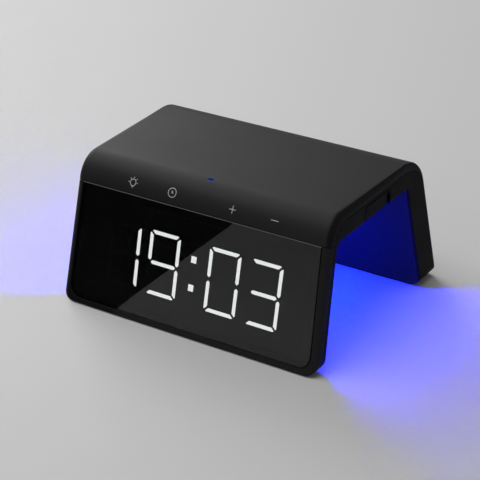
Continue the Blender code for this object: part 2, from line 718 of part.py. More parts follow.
def make_housing(body, hollow, pockets, look):
    """Lower housing: it lines the arch, closes the sides and is the whole rear leg."""
    reach = RIM + SEAM
    path = cover_points(reach, RIM_END + SEAM)
    centre_z = HEIGHT - REAR_RADIUS
    turn = COVER_END + SEAM / REAR_RADIUS
    rim = []
    for radius in (REAR_RADIUS - RIM_END - SEAM, REAR_RADIUS + PAST):
        rim.append((DECK_REAR + radius * math.sin(turn), centre_z + radius * math.cos(turn)))
    below = -PAST
    outline = [(front_y(below, reach), below)] + path[:-1] + rim
    outline += [(rear_y(below, -PAST), below), (rear_y(below, REAR_LEG + PAST), below)]
    outline += [(rear_y(CEILING - PAST, REAR_LEG + PAST), CEILING - PAST)]
    outline += [(front_y(CEILING - PAST, FRONT_LEG + PAST), CEILING - PAST)]
    outline += [(front_y(below, FRONT_LEG + PAST), below)]
    housing = side_slab("arch_housing", outline, -WIDTH_FOOT, WIDTH_FOOT, look)
    boolean(housing, body, "INTERSECT")
    boolean(housing, hollow, "DIFFERENCE")
    cut_housing_openings(housing)
    boolean(housing, pockets, "DIFFERENCE")


def carrier_spots():
    spots = []
    for y in (-CARRIER_SCREW, CARRIER_SCREW):
        for x in (-CARRIER_SCREW, CARRIER_SCREW):
            spots.append((x, COIL_Y + y, 0))
    return spots


def charger_spots():
    left, right = CHARGER_LEFT + CHARGER_SCREW, CHARGER_RIGHT - CHARGER_SCREW
    return [(left, CHARGER_FRONT + CHARGER_SCREW, 0), (right, CHARGER_REAR - CHARGER_SCREW, 0)]


def panel_spots():
    spots = []
    for y in (PANEL_LOW + PANEL_SCREW, PANEL_HIGH - PANEL_SCREW):
        for x in (-PANEL_HALF + PANEL_SCREW, PANEL_HALF - PANEL_SCREW):
            spots.append((x, y, 0))
    return spots


def board_spots():
    spots = []
    for y in (BOARD_LOW + BOARD_SCREW, BOARD_HIGH - BOARD_SCREW):
        for x in (-BOARD_HALF + BOARD_SCREW, BOARD_HALF - BOARD_SCREW):
            spots.append((x, y, 0))
    return spots


def make_deck_frame(look):
    """Frame on the arch's ceiling, with posts for the coil, the charger board and the cover."""
    low = CEILING_TOP + GAP
    outline = round_rect(-DECK_FRAME_HALF, DECK_FRAME_HALF, CEILING_FRONT - DECK_FRAME_AHEAD,
                         CEILING_REAR, (FRAME_RADIUS, FRAME_RADIUS))
    frame = add("deck_frame", slab_mesh(outline, low, low + FRAME_THICK), look)
    small = SMALL_SHANK_RADIUS + GAP + BOSS_WALL / 2
    root = low + FRAME_THICK / 2
    posts = []
    post = cylinder_mesh(small, root, CARRIER_Z - GAP)
    posts += [(post, spot) for spot in carrier_spots() + charger_spots()]
    pad = cylinder_mesh(SHANK_RADIUS + GAP + BOSS_WALL, root, CEILING_TOP + 2 * BOSS_WALL)
    posts += [(pad, spot) for spot in cover_screw_spots()]
    boolean(frame, gather("deck_posts", posts), "UNION")
    holes = []
    hole = cylinder_mesh(SMALL_SHANK_RADIUS + GAP, root, HEIGHT)
    holes += [(hole, spot) for spot in carrier_spots() + charger_spots()]
    hole = cylinder_mesh(SHANK_RADIUS + GAP, CEILING, HEIGHT)
    holes += [(hole, spot) for spot in cover_screw_spots()]
    boolean(frame, gather("deck_holes", holes), "DIFFERENCE")
    wide = LAMP_WIDE + 2 * LAMP_FLANGE + 2 * GAP
    lamp = stadium(0, LAMP_Y, 2 * (lamp_half() + LAMP_FLANGE + GAP), wide)
    boolean(frame, add("lamp_opening", slab_mesh(lamp, CEILING, HEIGHT)), "DIFFERENCE")
    half = cradle_half() + GAP
    notch = box("cradle_notch", (cradle_back() - GAP, TRAY_Y - half, CEILING),
                (WIDTH_FOOT, TRAY_Y + half, HEIGHT))
    boolean(frame, notch, "DIFFERENCE")


def make_board_frame(look):
    """Frame on the rear leg's lining, with posts for the main board and the rear panel."""
    half = PANEL_HALF - FRAME_SMALLER
    back = LINING + GAP - REAR_LEG
    outline = round_rect(-half, half, PANEL_LOW + FRAME_SMALLER, PANEL_HIGH - FRAME_SMALLER,
                         (FRAME_RADIUS, FRAME_RADIUS))
    frame = add("board_frame", slab_mesh(outline, back, back + FRAME_THICK), look, REAR.copy())
    small = SMALL_SHANK_RADIUS + GAP + BOSS_WALL / 2
    root = back + FRAME_THICK / 2
    posts = []
    post = cylinder_mesh(small, root, -BOARD_DEEP - BOARD_THICK - GAP)
    posts += [(post, spot) for spot in board_spots()]
    post = cylinder_mesh(SHANK_RADIUS + GAP + BOSS_WALL, root, -PANEL_BOSS_DEEP - GAP)
    posts += [(post, spot) for spot in panel_spots()]
    boolean(frame, gather("rear_posts", posts, REAR.copy()), "UNION")
    holes = []
    hole = cylinder_mesh(SMALL_SHANK_RADIUS + GAP, root, PAST)
    holes += [(hole, spot) for spot in board_spots()]
    hole = cylinder_mesh(SHANK_RADIUS + GAP, root, PAST)
    holes += [(hole, spot) for spot in panel_spots()]
    boolean(frame, gather("rear_holes", holes, REAR.copy()), "DIFFERENCE")


def cut_housing_openings(housing):
    """Screw holes, the lamp's slot, the rear panel's opening and the tray's doorway."""
    well = cylinder_mesh(HEAD_RADIUS + GAP, CEILING - PAST, CEILING_TOP + GAP, ROUND_SIDES)
    wells = [(well, spot) for spot in cover_screw_spots()]
    boolean(housing, gather("screw_wells", wells), "DIFFERENCE")
    lamp = stadium(0, LAMP_Y, 2 * (lamp_half() + GAP), LAMP_WIDE + 2 * GAP)
    lamp = slab_mesh(lamp, CEILING - PAST, CEILING_TOP + GAP)
    boolean(housing, add("lamp_slot", lamp), "DIFFERENCE")
    panel = round_rect(-PANEL_HALF - GAP, PANEL_HALF + GAP, PANEL_LOW - GAP, PANEL_HIGH + GAP,
                       (PANEL_RADIUS + GAP, PANEL_RADIUS + GAP))
    panel = slab_mesh(panel, -SKIN - GAP, PAST)
    boolean(housing, add("panel_opening", panel, None, REAR.copy()), "DIFFERENCE")
    front, rear = TRAY_Y - DOOR_WIDE / 2 - GAP, TRAY_Y + DOOR_WIDE / 2 + GAP
    doorway = [(front, CEILING - PAST), (rear, CEILING - PAST), (rear, DOOR_TOP + GAP),
               (front + DOOR_CHAMFER, DOOR_TOP + GAP), (front, DOOR_TOP + GAP - DOOR_CHAMFER)]
    boolean(housing, side_slab("doorway", doorway, door_inner() - GAP, WIDTH_FOOT), "DIFFERENCE")


def door_inner():
    """x of the tray door's inner face."""
    return half_width(DOOR_TOP) - DOOR_THICK


def cell_middle():
    """x of the coin cell's middle, with the tray shut."""
    return door_inner() - TRAY_WALL - GAP - CELL_RADIUS


def tray_back():
    """x of the tray's inner end, with the tray shut."""
    return cell_middle() - CELL_RADIUS - GAP - TRAY_BACK


def tray_half():
    return CELL_RADIUS + GAP + TRAY_WALL


def cradle_back():
    return tray_back() - GAP - CRADLE_WALL


def cradle_half():
    return tray_half() + GAP + CRADLE_WALL


def lamp_half():
    """Half of the lamp lens's length: it ends beside the battery's cradle."""
    return cradle_back() - LAMP_CLEAR - LAMP_FLANGE


def foot_spots():
    """Name, x, y and width of each rubber foot: each is centred under its leg."""
    front = front_y(FOOT_STAND, FRONT_LEG / 2)
    rear = rear_y(FOOT_STAND, REAR_LEG / 2)
    return (("foot_front_left", -FOOT_X, front, FOOT_FRONT_WIDE),
            ("foot_front_right", FOOT_X, front, FOOT_FRONT_WIDE),
            ("foot_rear_left", -FOOT_X, rear, FOOT_REAR_WIDE),
            ("foot_rear_right", FOOT_X, rear, FOOT_REAR_WIDE))


def foot_mesh(wide, grow, low, high):
    half, side = FOOT_LONG / 2 + grow, wide / 2 + grow
    radius = FOOT_RADIUS + grow
    return slab_mesh(round_rect(-half, half, -side, side, (radius, radius)), low, high)


def foot_pockets():
    pockets = []
    for _, x, y, wide in foot_spots():
        pocket = foot_mesh(wide, GAP, FOOT_STAND - PAST, FOOT_STAND + FOOT_SUNK + GAP)
        pockets.append((pocket, (x, y, 0)))
    return gather("foot_pockets", pockets)


def make_feet(look):
    for name, x, y, wide in foot_spots():
        mesh = foot_mesh(wide, 0.0, 0.0, FOOT_STAND + FOOT_SUNK)
        add(name, mesh, look, Matrix.Translation((x, y, 0)))


def level_segment(x, y, side):
    """Outline of a level segment: side is 1 at the digit's top, -1 at its foot and 0 halfway.

    The outer ones are cut on the diagonal, so that they meet the upright ones in a mitre.
    """
    half, wide = (DIGIT_WIDTH - SEGMENT_BREAK) / 2, SEGMENT / 2
    if side == 0:
        points = [(-half, 0), (-half + wide, -wide), (half - wide, -wide), (half, 0),
                  (half - wide, wide), (-half + wide, wide)]
    else:
        nose = wide - SEGMENT_NOSE
        points = [(-half + wide, -wide), (half - wide, -wide), (half + nose, nose),
                  (half + nose - SEGMENT_NOSE, wide), (-half - nose + SEGMENT_NOSE, wide),
                  (-half - nose, nose)]
        points = [(u, v * side) for u, v in points]
    return [(x + u, y + v) for u, v in points]


def upright_segment(x, y, side, rise):
    """Outline of an upright segment. side is its side of the digit, and rise its half: 1 is up.

    It is mitred at the digit's corner and pointed halfway.
    """
    half, wide = (DIGIT_HALF - SEGMENT_BREAK) / 2, SEGMENT / 2
    nose = wide - SEGMENT_NOSE
    points = [(0, -half), (wide, -half + wide), (wide, half + nose - SEGMENT_NOSE),
              (nose, half + nose), (-wide, half - wide), (-wide, -half + wide)]
    return [(x + u * side, y + v * rise) for u, v in points]


def digit_segments(x):
    """Outlines of a digit's seven segments."""
    parts = []
    for side in (-1, 0, 1):
        parts.append(level_segment(x, DIGIT_MIDDLE + side * DIGIT_HALF, side))
    for rise in (-1, 1):
        for side in (-1, 1):
            parts.append(upright_segment(x + side * DIGIT_WIDTH / 2,
                                         DIGIT_MIDDLE + rise * DIGIT_HALF / 2, side, rise))
    return parts


def all_segments():
    """Outlines of every light field of the display: four digits and two dots."""
    fields = []
    for side in (-1, 1):
        for place in (0, 1):
            fields += digit_segments(side * (DIGIT_INNER + place * DIGIT_PITCH))
    half = COLON_WIDE / 2
    for y in (DIGIT_MIDDLE - COLON_RISE, DIGIT_MIDDLE + COLON_RISE):
        fields.append(round_rect(-half, half, y - COLON_TALL / 2, y + COLON_TALL / 2, (0, 0)))
    return fields


def grown(outline, distance):
    """A convex outline moved outwards from its own middle by a distance, side by side."""
    count = len(outline)
    area = 0.0
    for index, (x, y) in enumerate(outline):
        after = outline[(index + 1) % count]
        area += x * after[1] - after[0] * y
    turn = 1 if area > 0 else -1
    points = []
    for index in range(count):
        here = Vector(outline[index])
        before = (here - Vector(outline[index - 1])).normalized()
        after = (Vector(outline[(index + 1) % count]) - here).normalized()
        normal_a = Vector((before.y, -before.x)) * turn
        normal_b = Vector((after.y, -after.x)) * turn
        push = (normal_a + normal_b) / (1 + normal_a.dot(normal_b))
        points.append(tuple(here + push * distance))
    return points


def make_display(looks):
    """Mask, light diffuser and board behind the window."""
    mask = add("segment_mask", box_mesh((-MASK_HALF, MASK_LOW, -MASK_DEEP - MASK_THICK),
                                        (MASK_HALF, MASK_HIGH, -MASK_DEEP)),
               looks["mask"], FRONT.copy())
    openings = []
    raised = []
    top = -MASK_DEEP - DIFFUSER_INSET
    for field in all_segments():
        wide = grown(field, SEGMENT_CLEAR)
        openings.append((slab_mesh(wide, -MASK_DEEP - MASK_THICK - PAST, PAST), (0, 0, 0)))
        raised.append((slab_mesh(field, -DIFFUSER_DEEP - DIFFUSER_THICK / 2, top), (0, 0, 0)))
    boolean(mask, gather("segment_openings", openings, FRONT.copy()), "DIFFERENCE")
    sheet = box_mesh((-MASK_HALF, MASK_LOW, -DIFFUSER_DEEP - DIFFUSER_THICK),
                     (MASK_HALF, MASK_HIGH, -DIFFUSER_DEEP))
    diffuser = add("segment_diffuser", sheet, looks["diffuser"], FRONT.copy())
    boolean(diffuser, gather("raised_segments", raised, FRONT.copy()), "UNION")
    board = add("display_board", box_mesh((-MASK_HALF, MASK_LOW, -DISPLAY_BOARD_DEEP - BOARD_THIN),
                                          (MASK_HALF, MASK_HIGH, -DISPLAY_BOARD_DEEP)),
                looks["board"], FRONT.copy())
    chips = []
    chip = box_mesh((-CHIP_HALF, -CHIP_HALF, -DISPLAY_BOARD_DEEP - BOARD_THIN / 2),
                    (CHIP_HALF, CHIP_HALF, -DISPLAY_BOARD_DEEP + CHIP))
    for field in all_segments():
        x = sum(point[0] for point in field) / len(field)
        y = sum(point[1] for point in field) / len(field)
        chips.append((chip, (x, y, 0)))
    boolean(board, gather("display_chips", chips, FRONT.copy()), "UNION")


def make_touch_film(look):
    """Thin film with the touch pads, stuck inside the cover's front curve."""
    outline = []
    for inset, order in ((SKIN + GAP, 1), (SKIN + GAP + FILM_THICK, -1)):
        radius = FRONT_RADIUS - inset
        centre_z = HEIGHT - FRONT_RADIUS
        row = []
        for step in range(ARC + 1):
            turn = math.pi - (FILM_START + (FILM_END - FILM_START) * step / ARC)
            row.append((DECK_FRONT + radius * math.cos(turn), centre_z + radius * math.sin(turn)))
        outline += row[::order]
    side_slab("touch_film", outline, -FILM_HALF, FILM_HALF, look)


def make_charge_light(body, looks):
    """Light pipe that shows on the deck's front edge, over a chip on its own small board."""
    low = HEIGHT - PIPE_DEEP
    pipe = add("charge_light_pipe",
               slab_mesh(stadium(0, PIPE_Y, PIPE_LONG, PIPE_WIDE), low, HEIGHT + PAST),
               looks["pipe"])
    boolean(pipe, body, "INTERSECT")
    base = CEILING_TOP + FRAME_THICK + 2 * GAP
    board = box("indicator_board", (-INDICATOR_HALF, PIPE_Y - INDICATOR_WIDE / 2, base),
                (INDICATOR_HALF, PIPE_Y + INDICATOR_WIDE / 2, base + BOARD_THIN), looks["board"])
    half = INDICATOR_CHIP / 2
    chip = box("indicator_chip", (-half, PIPE_Y - half, base + BOARD_THIN / 2),
               (half, PIPE_Y + half, low - GAP))
    boolean(board, chip, "UNION")


def coil_points():
    """Middle line of the flat spiral: its radius grows by the pitch with each turn."""
    points = []
    for step in range(COIL_TURNS * COIL_STEPS + 1):
        turn = 2 * math.pi * step / COIL_STEPS
        radius = COIL_INNER + COIL_PITCH * step / COIL_STEPS
        points.append((radius * math.cos(turn), COIL_Y + radius * math.sin(turn), COIL_Z))
    return points


def make_coil(looks):
    """Charging coil on its ferrite disc and carrier."""
    curve = bpy.data.curves.new("coil", "CURVE")
    curve.dimensions = "3D"
    curve.bevel_depth = WIRE / 2
    curve.bevel_resolution = 1
    curve.use_fill_caps = True
    points = coil_points()
    spline = curve.splines.new("POLY")
    spline.points.add(len(points) - 1)
    for point, spot in zip(spline.points, points):
        point.co = (*spot, 1)
    add("charging_coil", curve_mesh(curve), looks["copper"])
    print("charging coil:", COIL_TURNS, "turns,", round((COIL_PITCH - WIRE) / MM, 3), "mm apart")
    disc = cylinder_mesh(FERRITE_RADIUS, FERRITE_Z, FERRITE_Z + FERRITE_THICK, 2 * ROUND_SIDES)
    add("coil_ferrite", disc, looks["ferrite"], Matrix.Translation((0, COIL_Y, 0)))
    half = CARRIER_HALF
    plate = round_rect(-half, half, COIL_Y - half, COIL_Y + half, (CARRIER_RADIUS, CARRIER_RADIUS))
    carrier = add("coil_carrier", slab_mesh(plate, CARRIER_Z, CARRIER_Z + CARRIER_THICK),
                  looks["inner_plastic"])
    hole = cylinder_mesh(SMALL_SHANK_RADIUS + GAP, CARRIER_Z - PAST, HEIGHT)
    holes = gather("carrier_holes", [(hole, spot) for spot in carrier_spots()])
    boolean(carrier, holes, "DIFFERENCE")


def make_charger_board(look):
    """Charging electronics beside the coil."""
    low, high = CARRIER_Z, CARRIER_Z + CHARGER_THICK
    board = box("charger_board", (CHARGER_LEFT, CHARGER_FRONT, low),
                (CHARGER_RIGHT, CHARGER_REAR, high), look)
    blocks = []
    for across, along, long, wide, tall in CHARGER_BLOCKS:
        block = box_mesh((-long / 2 * MM, -wide / 2 * MM, low + CHARGER_THICK / 2),
                         (long / 2 * MM, wide / 2 * MM, high + tall * MM))
        x = CHARGER_LEFT + (CHARGER_RIGHT - CHARGER_LEFT) * across
        y = CHARGER_FRONT + (CHARGER_REAR - CHARGER_FRONT) * along
        blocks.append((block, (x, y, 0)))
    boolean(board, gather("charger_blocks", blocks), "UNION")
    hole = cylinder_mesh(SMALL_SHANK_RADIUS + GAP, low - PAST, HEIGHT)
    holes = gather("charger_holes", [(hole, spot) for spot in charger_spots()])
    boolean(board, holes, "DIFFERENCE")


def make_lamp(looks):
    """Lens of the night lamp, flush in the ceiling, with its board on two blocks above."""
    body = slab_mesh(stadium(0, LAMP_Y, 2 * lamp_half(), LAMP_WIDE), CEILING,
                     CEILING_TOP + GAP + FLANGE_THICK)
    lens = add("lamp_lens", body, looks["lens"])
    flange_low = CEILING_TOP + GAP
    flange = slab_mesh(stadium(0, LAMP_Y, 2 * (lamp_half() + LAMP_FLANGE),
                               LAMP_WIDE + 2 * LAMP_FLANGE), flange_low, flange_low + FLANGE_THICK)
    boolean(lens, add("lamp_flange", flange), "UNION")
    top = flange_low + FLANGE_THICK + LAMP_STEP
    board_half = lamp_half() - LAMP_BOARD_IN
    half_wide = LAMP_BOARD_WIDE / 2
    steps = []
    step = box_mesh((-LAMP_STEP_HALF, -half_wide, flange_low + FLANGE_THICK / 2),
                    (LAMP_STEP_HALF, half_wide, top))
    for side in (-1, 1):
        steps.append((step, (side * (board_half - LAMP_STEP_HALF), LAMP_Y, 0)))
    boolean(lens, gather("lamp_steps", steps), "UNION")
    base = top + GAP
    board = box("lamp_board", (-board_half, LAMP_Y - half_wide, base),
                (board_half, LAMP_Y + half_wide, base + BOARD_THIN), looks["white_board"])
    half = LAMP_CHIP / 2
    chip = box_mesh((-half, -half, base - LAMP_CHIP_HIGH), (half, half, base + BOARD_THIN / 2))
    first = LAMP_CHIP_IN - board_half
    chips = []
    for index in range(LAMP_CHIPS):
        chips.append((chip, (first * (1 - 2 * index / (LAMP_CHIPS - 1)), LAMP_Y, 0)))
    boolean(board, gather("lamp_chips", chips), "UNION")


def make_battery(body, looks):
    """Coin cell in its sliding tray, with the cradle and contacts that stay in the deck."""
    inner, cell_x, back, half = door_inner(), cell_middle(), tray_back(), tray_half()
    bottom = CEILING_TOP + 2 * GAP + CONTACT_THICK + CONTACT_SPRING
    cell_z = bottom + TRAY_FLOOR + GAP
    rim = cell_z + CELL_THICK
    home = Vector((inner, TRAY_Y, cell_z))
    place = Matrix.Translation(home)

    def local(x, y, z):
        return Vector((x, y, z)) - home

    front, rear = TRAY_Y - DOOR_WIDE / 2, TRAY_Y + DOOR_WIDE / 2
    outline = [(front, CEILING - PAST), (rear, CEILING - PAST), (rear, DOOR_TOP),
               (front + DOOR_CHAMFER, DOOR_TOP), (front, DOOR_TOP - DOOR_CHAMFER)]
    door = slab_mesh(outline, inner, WIDTH_FOOT)
    door.transform(Matrix.Translation(-home) @ SIDE_VIEW)
    tray = add("battery_tray", door, looks["housing"], place)
    boolean(tray, body, "INTERSECT")
    bed = box("tray_bed", local(back, TRAY_Y - half, bottom),
              local(inner + DOOR_THICK / 3, TRAY_Y + half, rim), None, place)
    boolean(tray, bed, "UNION")
    well = cylinder_mesh(CELL_RADIUS + GAP, bottom + TRAY_FLOOR, rim + PAST, 2 * ROUND_SIDES)
    boolean(tray, add("cell_well", well, None, Matrix.Translation((cell_x, TRAY_Y, 0))),
            "DIFFERENCE")
    slot_half = CONTACT_WIDE / 2 + 2 * GAP
    slot = box("contact_slot", (back - PAST, TRAY_Y - slot_half, bottom - PAST),
               (cell_x + slot_half, TRAY_Y + slot_half, rim + PAST))
    boolean(tray, slot, "DIFFERENCE")
    groove_y = rear - NAIL_FROM_END
    groove = round_rect(groove_y - NAIL_WIDE, groove_y, CEILING - PAST, DOOR_TOP - NAIL_DEEP,
                        (0, NAIL_WIDE / 2))
    groove = side_slab("nail_groove", groove, half_width(DOOR_TOP) - NAIL_DEEP, WIDTH_FOOT)
    boolean(tray, groove, "DIFFERENCE")
    held = half_width(DOOR_TOP) - back - TRAY_TRAVEL
    print("battery tray: open, its inner end is", round(held / MM, 2), "mm inside the doorway")

    rim_radius, face_radius = CELL_RADIUS - CELL_EDGE, CELL_RADIUS - 2 * CELL_EDGE
    profile = [(0, CELL_THICK), (rim_radius, CELL_THICK), (CELL_RADIUS, CELL_THICK - CELL_EDGE),
               (CELL_RADIUS, 2 * CELL_EDGE), (face_radius, 2 * CELL_EDGE), (face_radius, 0),
               (0, 0)]
    add("coin_cell", turned_mesh(profile, 2 * ROUND_SIDES), looks["steel"],
        Matrix.Translation((cell_x, TRAY_Y, cell_z)))

    contact_top = rim + GAP + CONTACT_THICK
    roof = contact_top + GAP
    cradle = box("battery_cradle", (cradle_back(), TRAY_Y - cradle_half(), CEILING_TOP + GAP),
                 (inner - 2 * GAP, TRAY_Y + cradle_half(), roof + CRADLE_ROOF),
                 looks["inner_plastic"])
    space = box("cradle_space", (back - GAP, TRAY_Y - half - GAP, CEILING_TOP - PAST),
                (inner + PAST, TRAY_Y + half + GAP, roof))
    boolean(cradle, space, "DIFFERENCE")

    side = CONTACT_WIDE / 2
    start_x = back + CONTACT_IN
    box("battery_contact_top", (start_x, TRAY_Y - side, rim + GAP),
        (cell_x + CELL_RADIUS / 2, TRAY_Y + side, contact_top), looks["steel"])
    low = CEILING_TOP + GAP
    leaf = box("battery_contact_bottom", (start_x, TRAY_Y - side, low),
               (cell_x + side, TRAY_Y + side, low + CONTACT_THICK), looks["steel"])
    bump = box("contact_bump", (cell_x - 2 * side, TRAY_Y - side, low),
               (cell_x + side - BUMP_IN, TRAY_Y + side, cell_z - GAP))
    boolean(leaf, bump, "UNION")


def make_rear_panel(look):
    """Panel in the rear face, with screw wells, the inlet's mouth and sound holes."""
    outline = round_rect(-PANEL_HALF, PANEL_HALF, PANEL_LOW, PANEL_HIGH,
                         (PANEL_RADIUS, PANEL_RADIUS))
    panel = add("rear_panel", slab_mesh(outline, -SKIN, 0.0), look, REAR.copy())
    boss = cylinder_mesh(PANEL_BOSS / 2, -PANEL_BOSS_DEEP, -SKIN / 2, ROUND_SIDES)
    boolean(panel, gather("panel_bosses", [(boss, spot) for spot in panel_spots()], REAR.copy()),
            "UNION")
    well = cylinder_mesh(HEAD_RADIUS + GAP, -HEAD_HIGH - 2 * GAP, PAST, ROUND_SIDES)
    boolean(panel, gather("panel_wells", [(well, spot) for spot in panel_spots()], REAR.copy()),
            "DIFFERENCE")
    hole = cylinder_mesh(SHANK_RADIUS + GAP, -PANEL_BOSS_DEEP - PAST, PAST)
    boolean(panel, gather("panel_holes", [(hole, spot) for spot in panel_spots()], REAR.copy()),
            "DIFFERENCE")
    mouth = stadium(0, INLET_ALONG, INLET_LONG + 2 * INLET_MARGIN, INLET_WIDE + 2 * INLET_MARGIN)
    mouth = slab_mesh(mouth, -SKIN - PAST, PAST)
    boolean(panel, add("inlet_mouth", mouth, None, REAR.copy()), "DIFFERENCE")
    hole = cylinder_mesh(SOUND_HOLE, -SKIN - PAST, PAST)
    holes = [(hole, (BUZZER_X, BUZZER_ALONG, 0))]
    for index in range(SOUND_HOLES):
        turn = 2 * math.pi * index / SOUND_HOLES
        spot = (BUZZER_X + SOUND_RING * math.cos(turn), BUZZER_ALONG + SOUND_RING * math.sin(turn))
        holes.append((hole, (*spot, 0)))
    boolean(panel, gather("sound_holes", holes, REAR.copy()), "DIFFERENCE")


def make_main_board(looks):
    """Board in the rear leg, with its blocks, the power inlet and the buzzer."""
    back = -BOARD_DEEP - BOARD_THICK
    board = box("main_board", (-BOARD_HALF, BOARD_LOW, back), (BOARD_HALF, BOARD_HIGH, -BOARD_DEEP),
                looks["board"], REAR.copy())
    blocks = []
    for x, down, long, wide, tall in BOARD_BLOCKS:
        block = box_mesh((-long / 2 * MM, -wide / 2 * MM, -BOARD_DEEP - BOARD_THICK / 2),
                         (long / 2 * MM, wide / 2 * MM, -BOARD_DEEP + tall * MM))
        blocks.append((block, (x * MM, BOARD_HIGH - down * MM, 0)))
    socket_x = -(RIBBON_LEFT + RIBBON_WIDE / 2)
    socket = box_mesh((-SOCKET_HALF, -SOCKET_WIDE / 2, -BOARD_DEEP - BOARD_THICK / 2),
                      (SOCKET_HALF, SOCKET_WIDE / 2, -BOARD_DEEP + SOCKET_TALL))
    blocks.append((socket, (socket_x, BOARD_HIGH - SOCKET_DOWN, 0)))
    boolean(board, gather("board_blocks", blocks, REAR.copy()), "UNION")
    hole = cylinder_mesh(SMALL_SHANK_RADIUS + GAP, back - PAST, 0.0)
    boolean(board, gather("board_holes", [(hole, spot) for spot in board_spots()], REAR.copy()),
            "DIFFERENCE")

    low, high = -BOARD_DEEP + GAP, -INLET_RECESS
    inlet = add("usb_c_inlet", slab_mesh(stadium(0, INLET_ALONG, INLET_LONG, INLET_WIDE), low,
                                         high), looks["steel"], REAR.copy())
    inner = stadium(0, INLET_ALONG, INLET_LONG - 2 * INLET_WALL, INLET_WIDE - 2 * INLET_WALL)
    floor = low + 2 * INLET_WALL
    boolean(inlet, add("inlet_space", slab_mesh(inner, floor, PAST), None, REAR.copy()),
            "DIFFERENCE")
    tongue = box("inlet_tongue", (-TONGUE_LONG / 2, INLET_ALONG - TONGUE_WIDE / 2, low + INLET_WALL),
                 (TONGUE_LONG / 2, INLET_ALONG + TONGUE_WIDE / 2, high - 2 * INLET_RECESS), None,
                 REAR.copy())
    boolean(inlet, tongue, "UNION")

    disc = cylinder_mesh(BUZZER_RADIUS, low, low + BUZZER_THICK, ROUND_SIDES)
    buzzer = add("piezo_buzzer", disc, looks["mask"],
                 REAR @ Matrix.Translation((BUZZER_X, BUZZER_ALONG, 0)))
    port = cylinder_mesh(SOUND_HOLE, low + BUZZER_THICK / 2, PAST)
    boolean(buzzer, add("buzzer_port", port, None,
                        REAR @ Matrix.Translation((BUZZER_X, BUZZER_ALONG, 0))), "DIFFERENCE")


def make_ribbon(look):
    """Flat cable from the display board, over the deck's parts, down to the main board."""
    rows = []
    for thinner in (0.0, RIBBON_THICK):
        insets = (RIBBON_FRONT + thinner, RIBBON_DECK + thinner, RIBBON_REAR + thinner)
        radii = (RIBBON_RADIUS - thinner, RIBBON_RADIUS - thinner)
        path = arch_path(insets, radii, 0.0)
        first = front_point(MASK_HIGH + GAP, RIBBON_FRONT + thinner)
        last = REAR @ Vector((0, BOARD_HIGH - RIBBON_END, -RIBBON_REAR - thinner))
        rows.append([first] + path[1:-1] + [(last.y, last.z)])
    outline = rows[0] + rows[1][::-1]
    side_slab("display_ribbon", outline, RIBBON_LEFT, RIBBON_LEFT + RIBBON_WIDE, look)


def make_screws(look):
    """Every screw, from two shared meshes."""
    cover = screw_mesh(HEAD_RADIUS, HEAD_HIGH, SHANK_RADIUS, COVER_SCREW_LENGTH)
    panel = screw_mesh(HEAD_RADIUS, HEAD_HIGH, SHANK_RADIUS, PANEL_SCREW_LENGTH)
    small = screw_mesh(SMALL_HEAD_RADIUS, SMALL_HEAD_HIGH, SMALL_SHANK_RADIUS, SMALL_LENGTH)
    upside_down = Matrix.Rotation(math.pi, 4, "X")
    for number, (x, y, _) in enumerate(cover_screw_spots(), 1):
        place = Matrix.Translation((x, y, CEILING_TOP)) @ upside_down
        add(f"cover_screw_{number}", cover, look, place)
    for number, (x, y, _) in enumerate(panel_spots(), 1):
        place = REAR @ Matrix.Translation((x, y, -HEAD_HIGH - GAP))
        add(f"rear_panel_screw_{number}", panel, look, place)
    for number, (x, y, _) in enumerate(board_spots(), 1):
        place = REAR @ Matrix.Translation((x, y, -BOARD_DEEP + GAP))
        add(f"board_screw_{number}", small, look, place)
    for number, (x, y, _) in enumerate(carrier_spots(), 1):
        place = Matrix.Translation((x, y, CARRIER_Z + CARRIER_THICK + GAP))
        add(f"coil_screw_{number}", small, look, place)
    for number, (x, y, _) in enumerate(charger_spots(), 1):
        place = Matrix.Translation((x, y, CARRIER_Z + CHARGER_THICK + GAP))
        add(f"charger_screw_{number}", small, look, place)


def make_looks():
    return {
        "cover": material("soft_touch_black", (0.035, 0.035, 0.037), 0.55),
        "housing": material("moulded_black", (0.012, 0.012, 0.013), 0.5),
        "bezel": material("bezel_black", (0.012, 0.012, 0.013), 0.42),
        "panel": material("panel_black", (0.012, 0.012, 0.013), 0.5),
        "window": material("smoked_acrylic", (0.01, 0.01, 0.011), 0.05, 0.0, 0.35),
        "mask": material("mask_black", (0.006, 0.006, 0.006), 0.8),
        "diffuser": material("milky_plastic", (0.85, 0.85, 0.82), 0.5),
        "lens": material("lamp_milky", (0.55, 0.6, 0.9), 0.4),
        "pipe": material("light_pipe", (0.05, 0.2, 0.7), 0.2),
        "board": material("board_green", (0.02, 0.12, 0.05), 0.4),
        "white_board": material("board_white", (0.8, 0.8, 0.78), 0.4),
        "film": material("polyimide", (0.4, 0.16, 0.03), 0.4),
        "copper": material("enamelled_copper", (0.6, 0.22, 0.08), 0.3, 1.0),
        "ferrite": material("ferrite", (0.03, 0.03, 0.03), 0.7),
        "inner_plastic": material("inner_black", (0.03, 0.03, 0.03), 0.6),
        "steel": material("plated_steel", (0.6, 0.6, 0.6), 0.25, 1.0),
        "rubber": material("rubber", (0.02, 0.02, 0.02), 0.85),
        "cable": material("ribbon_white", (0.75, 0.75, 0.72), 0.4),
    }


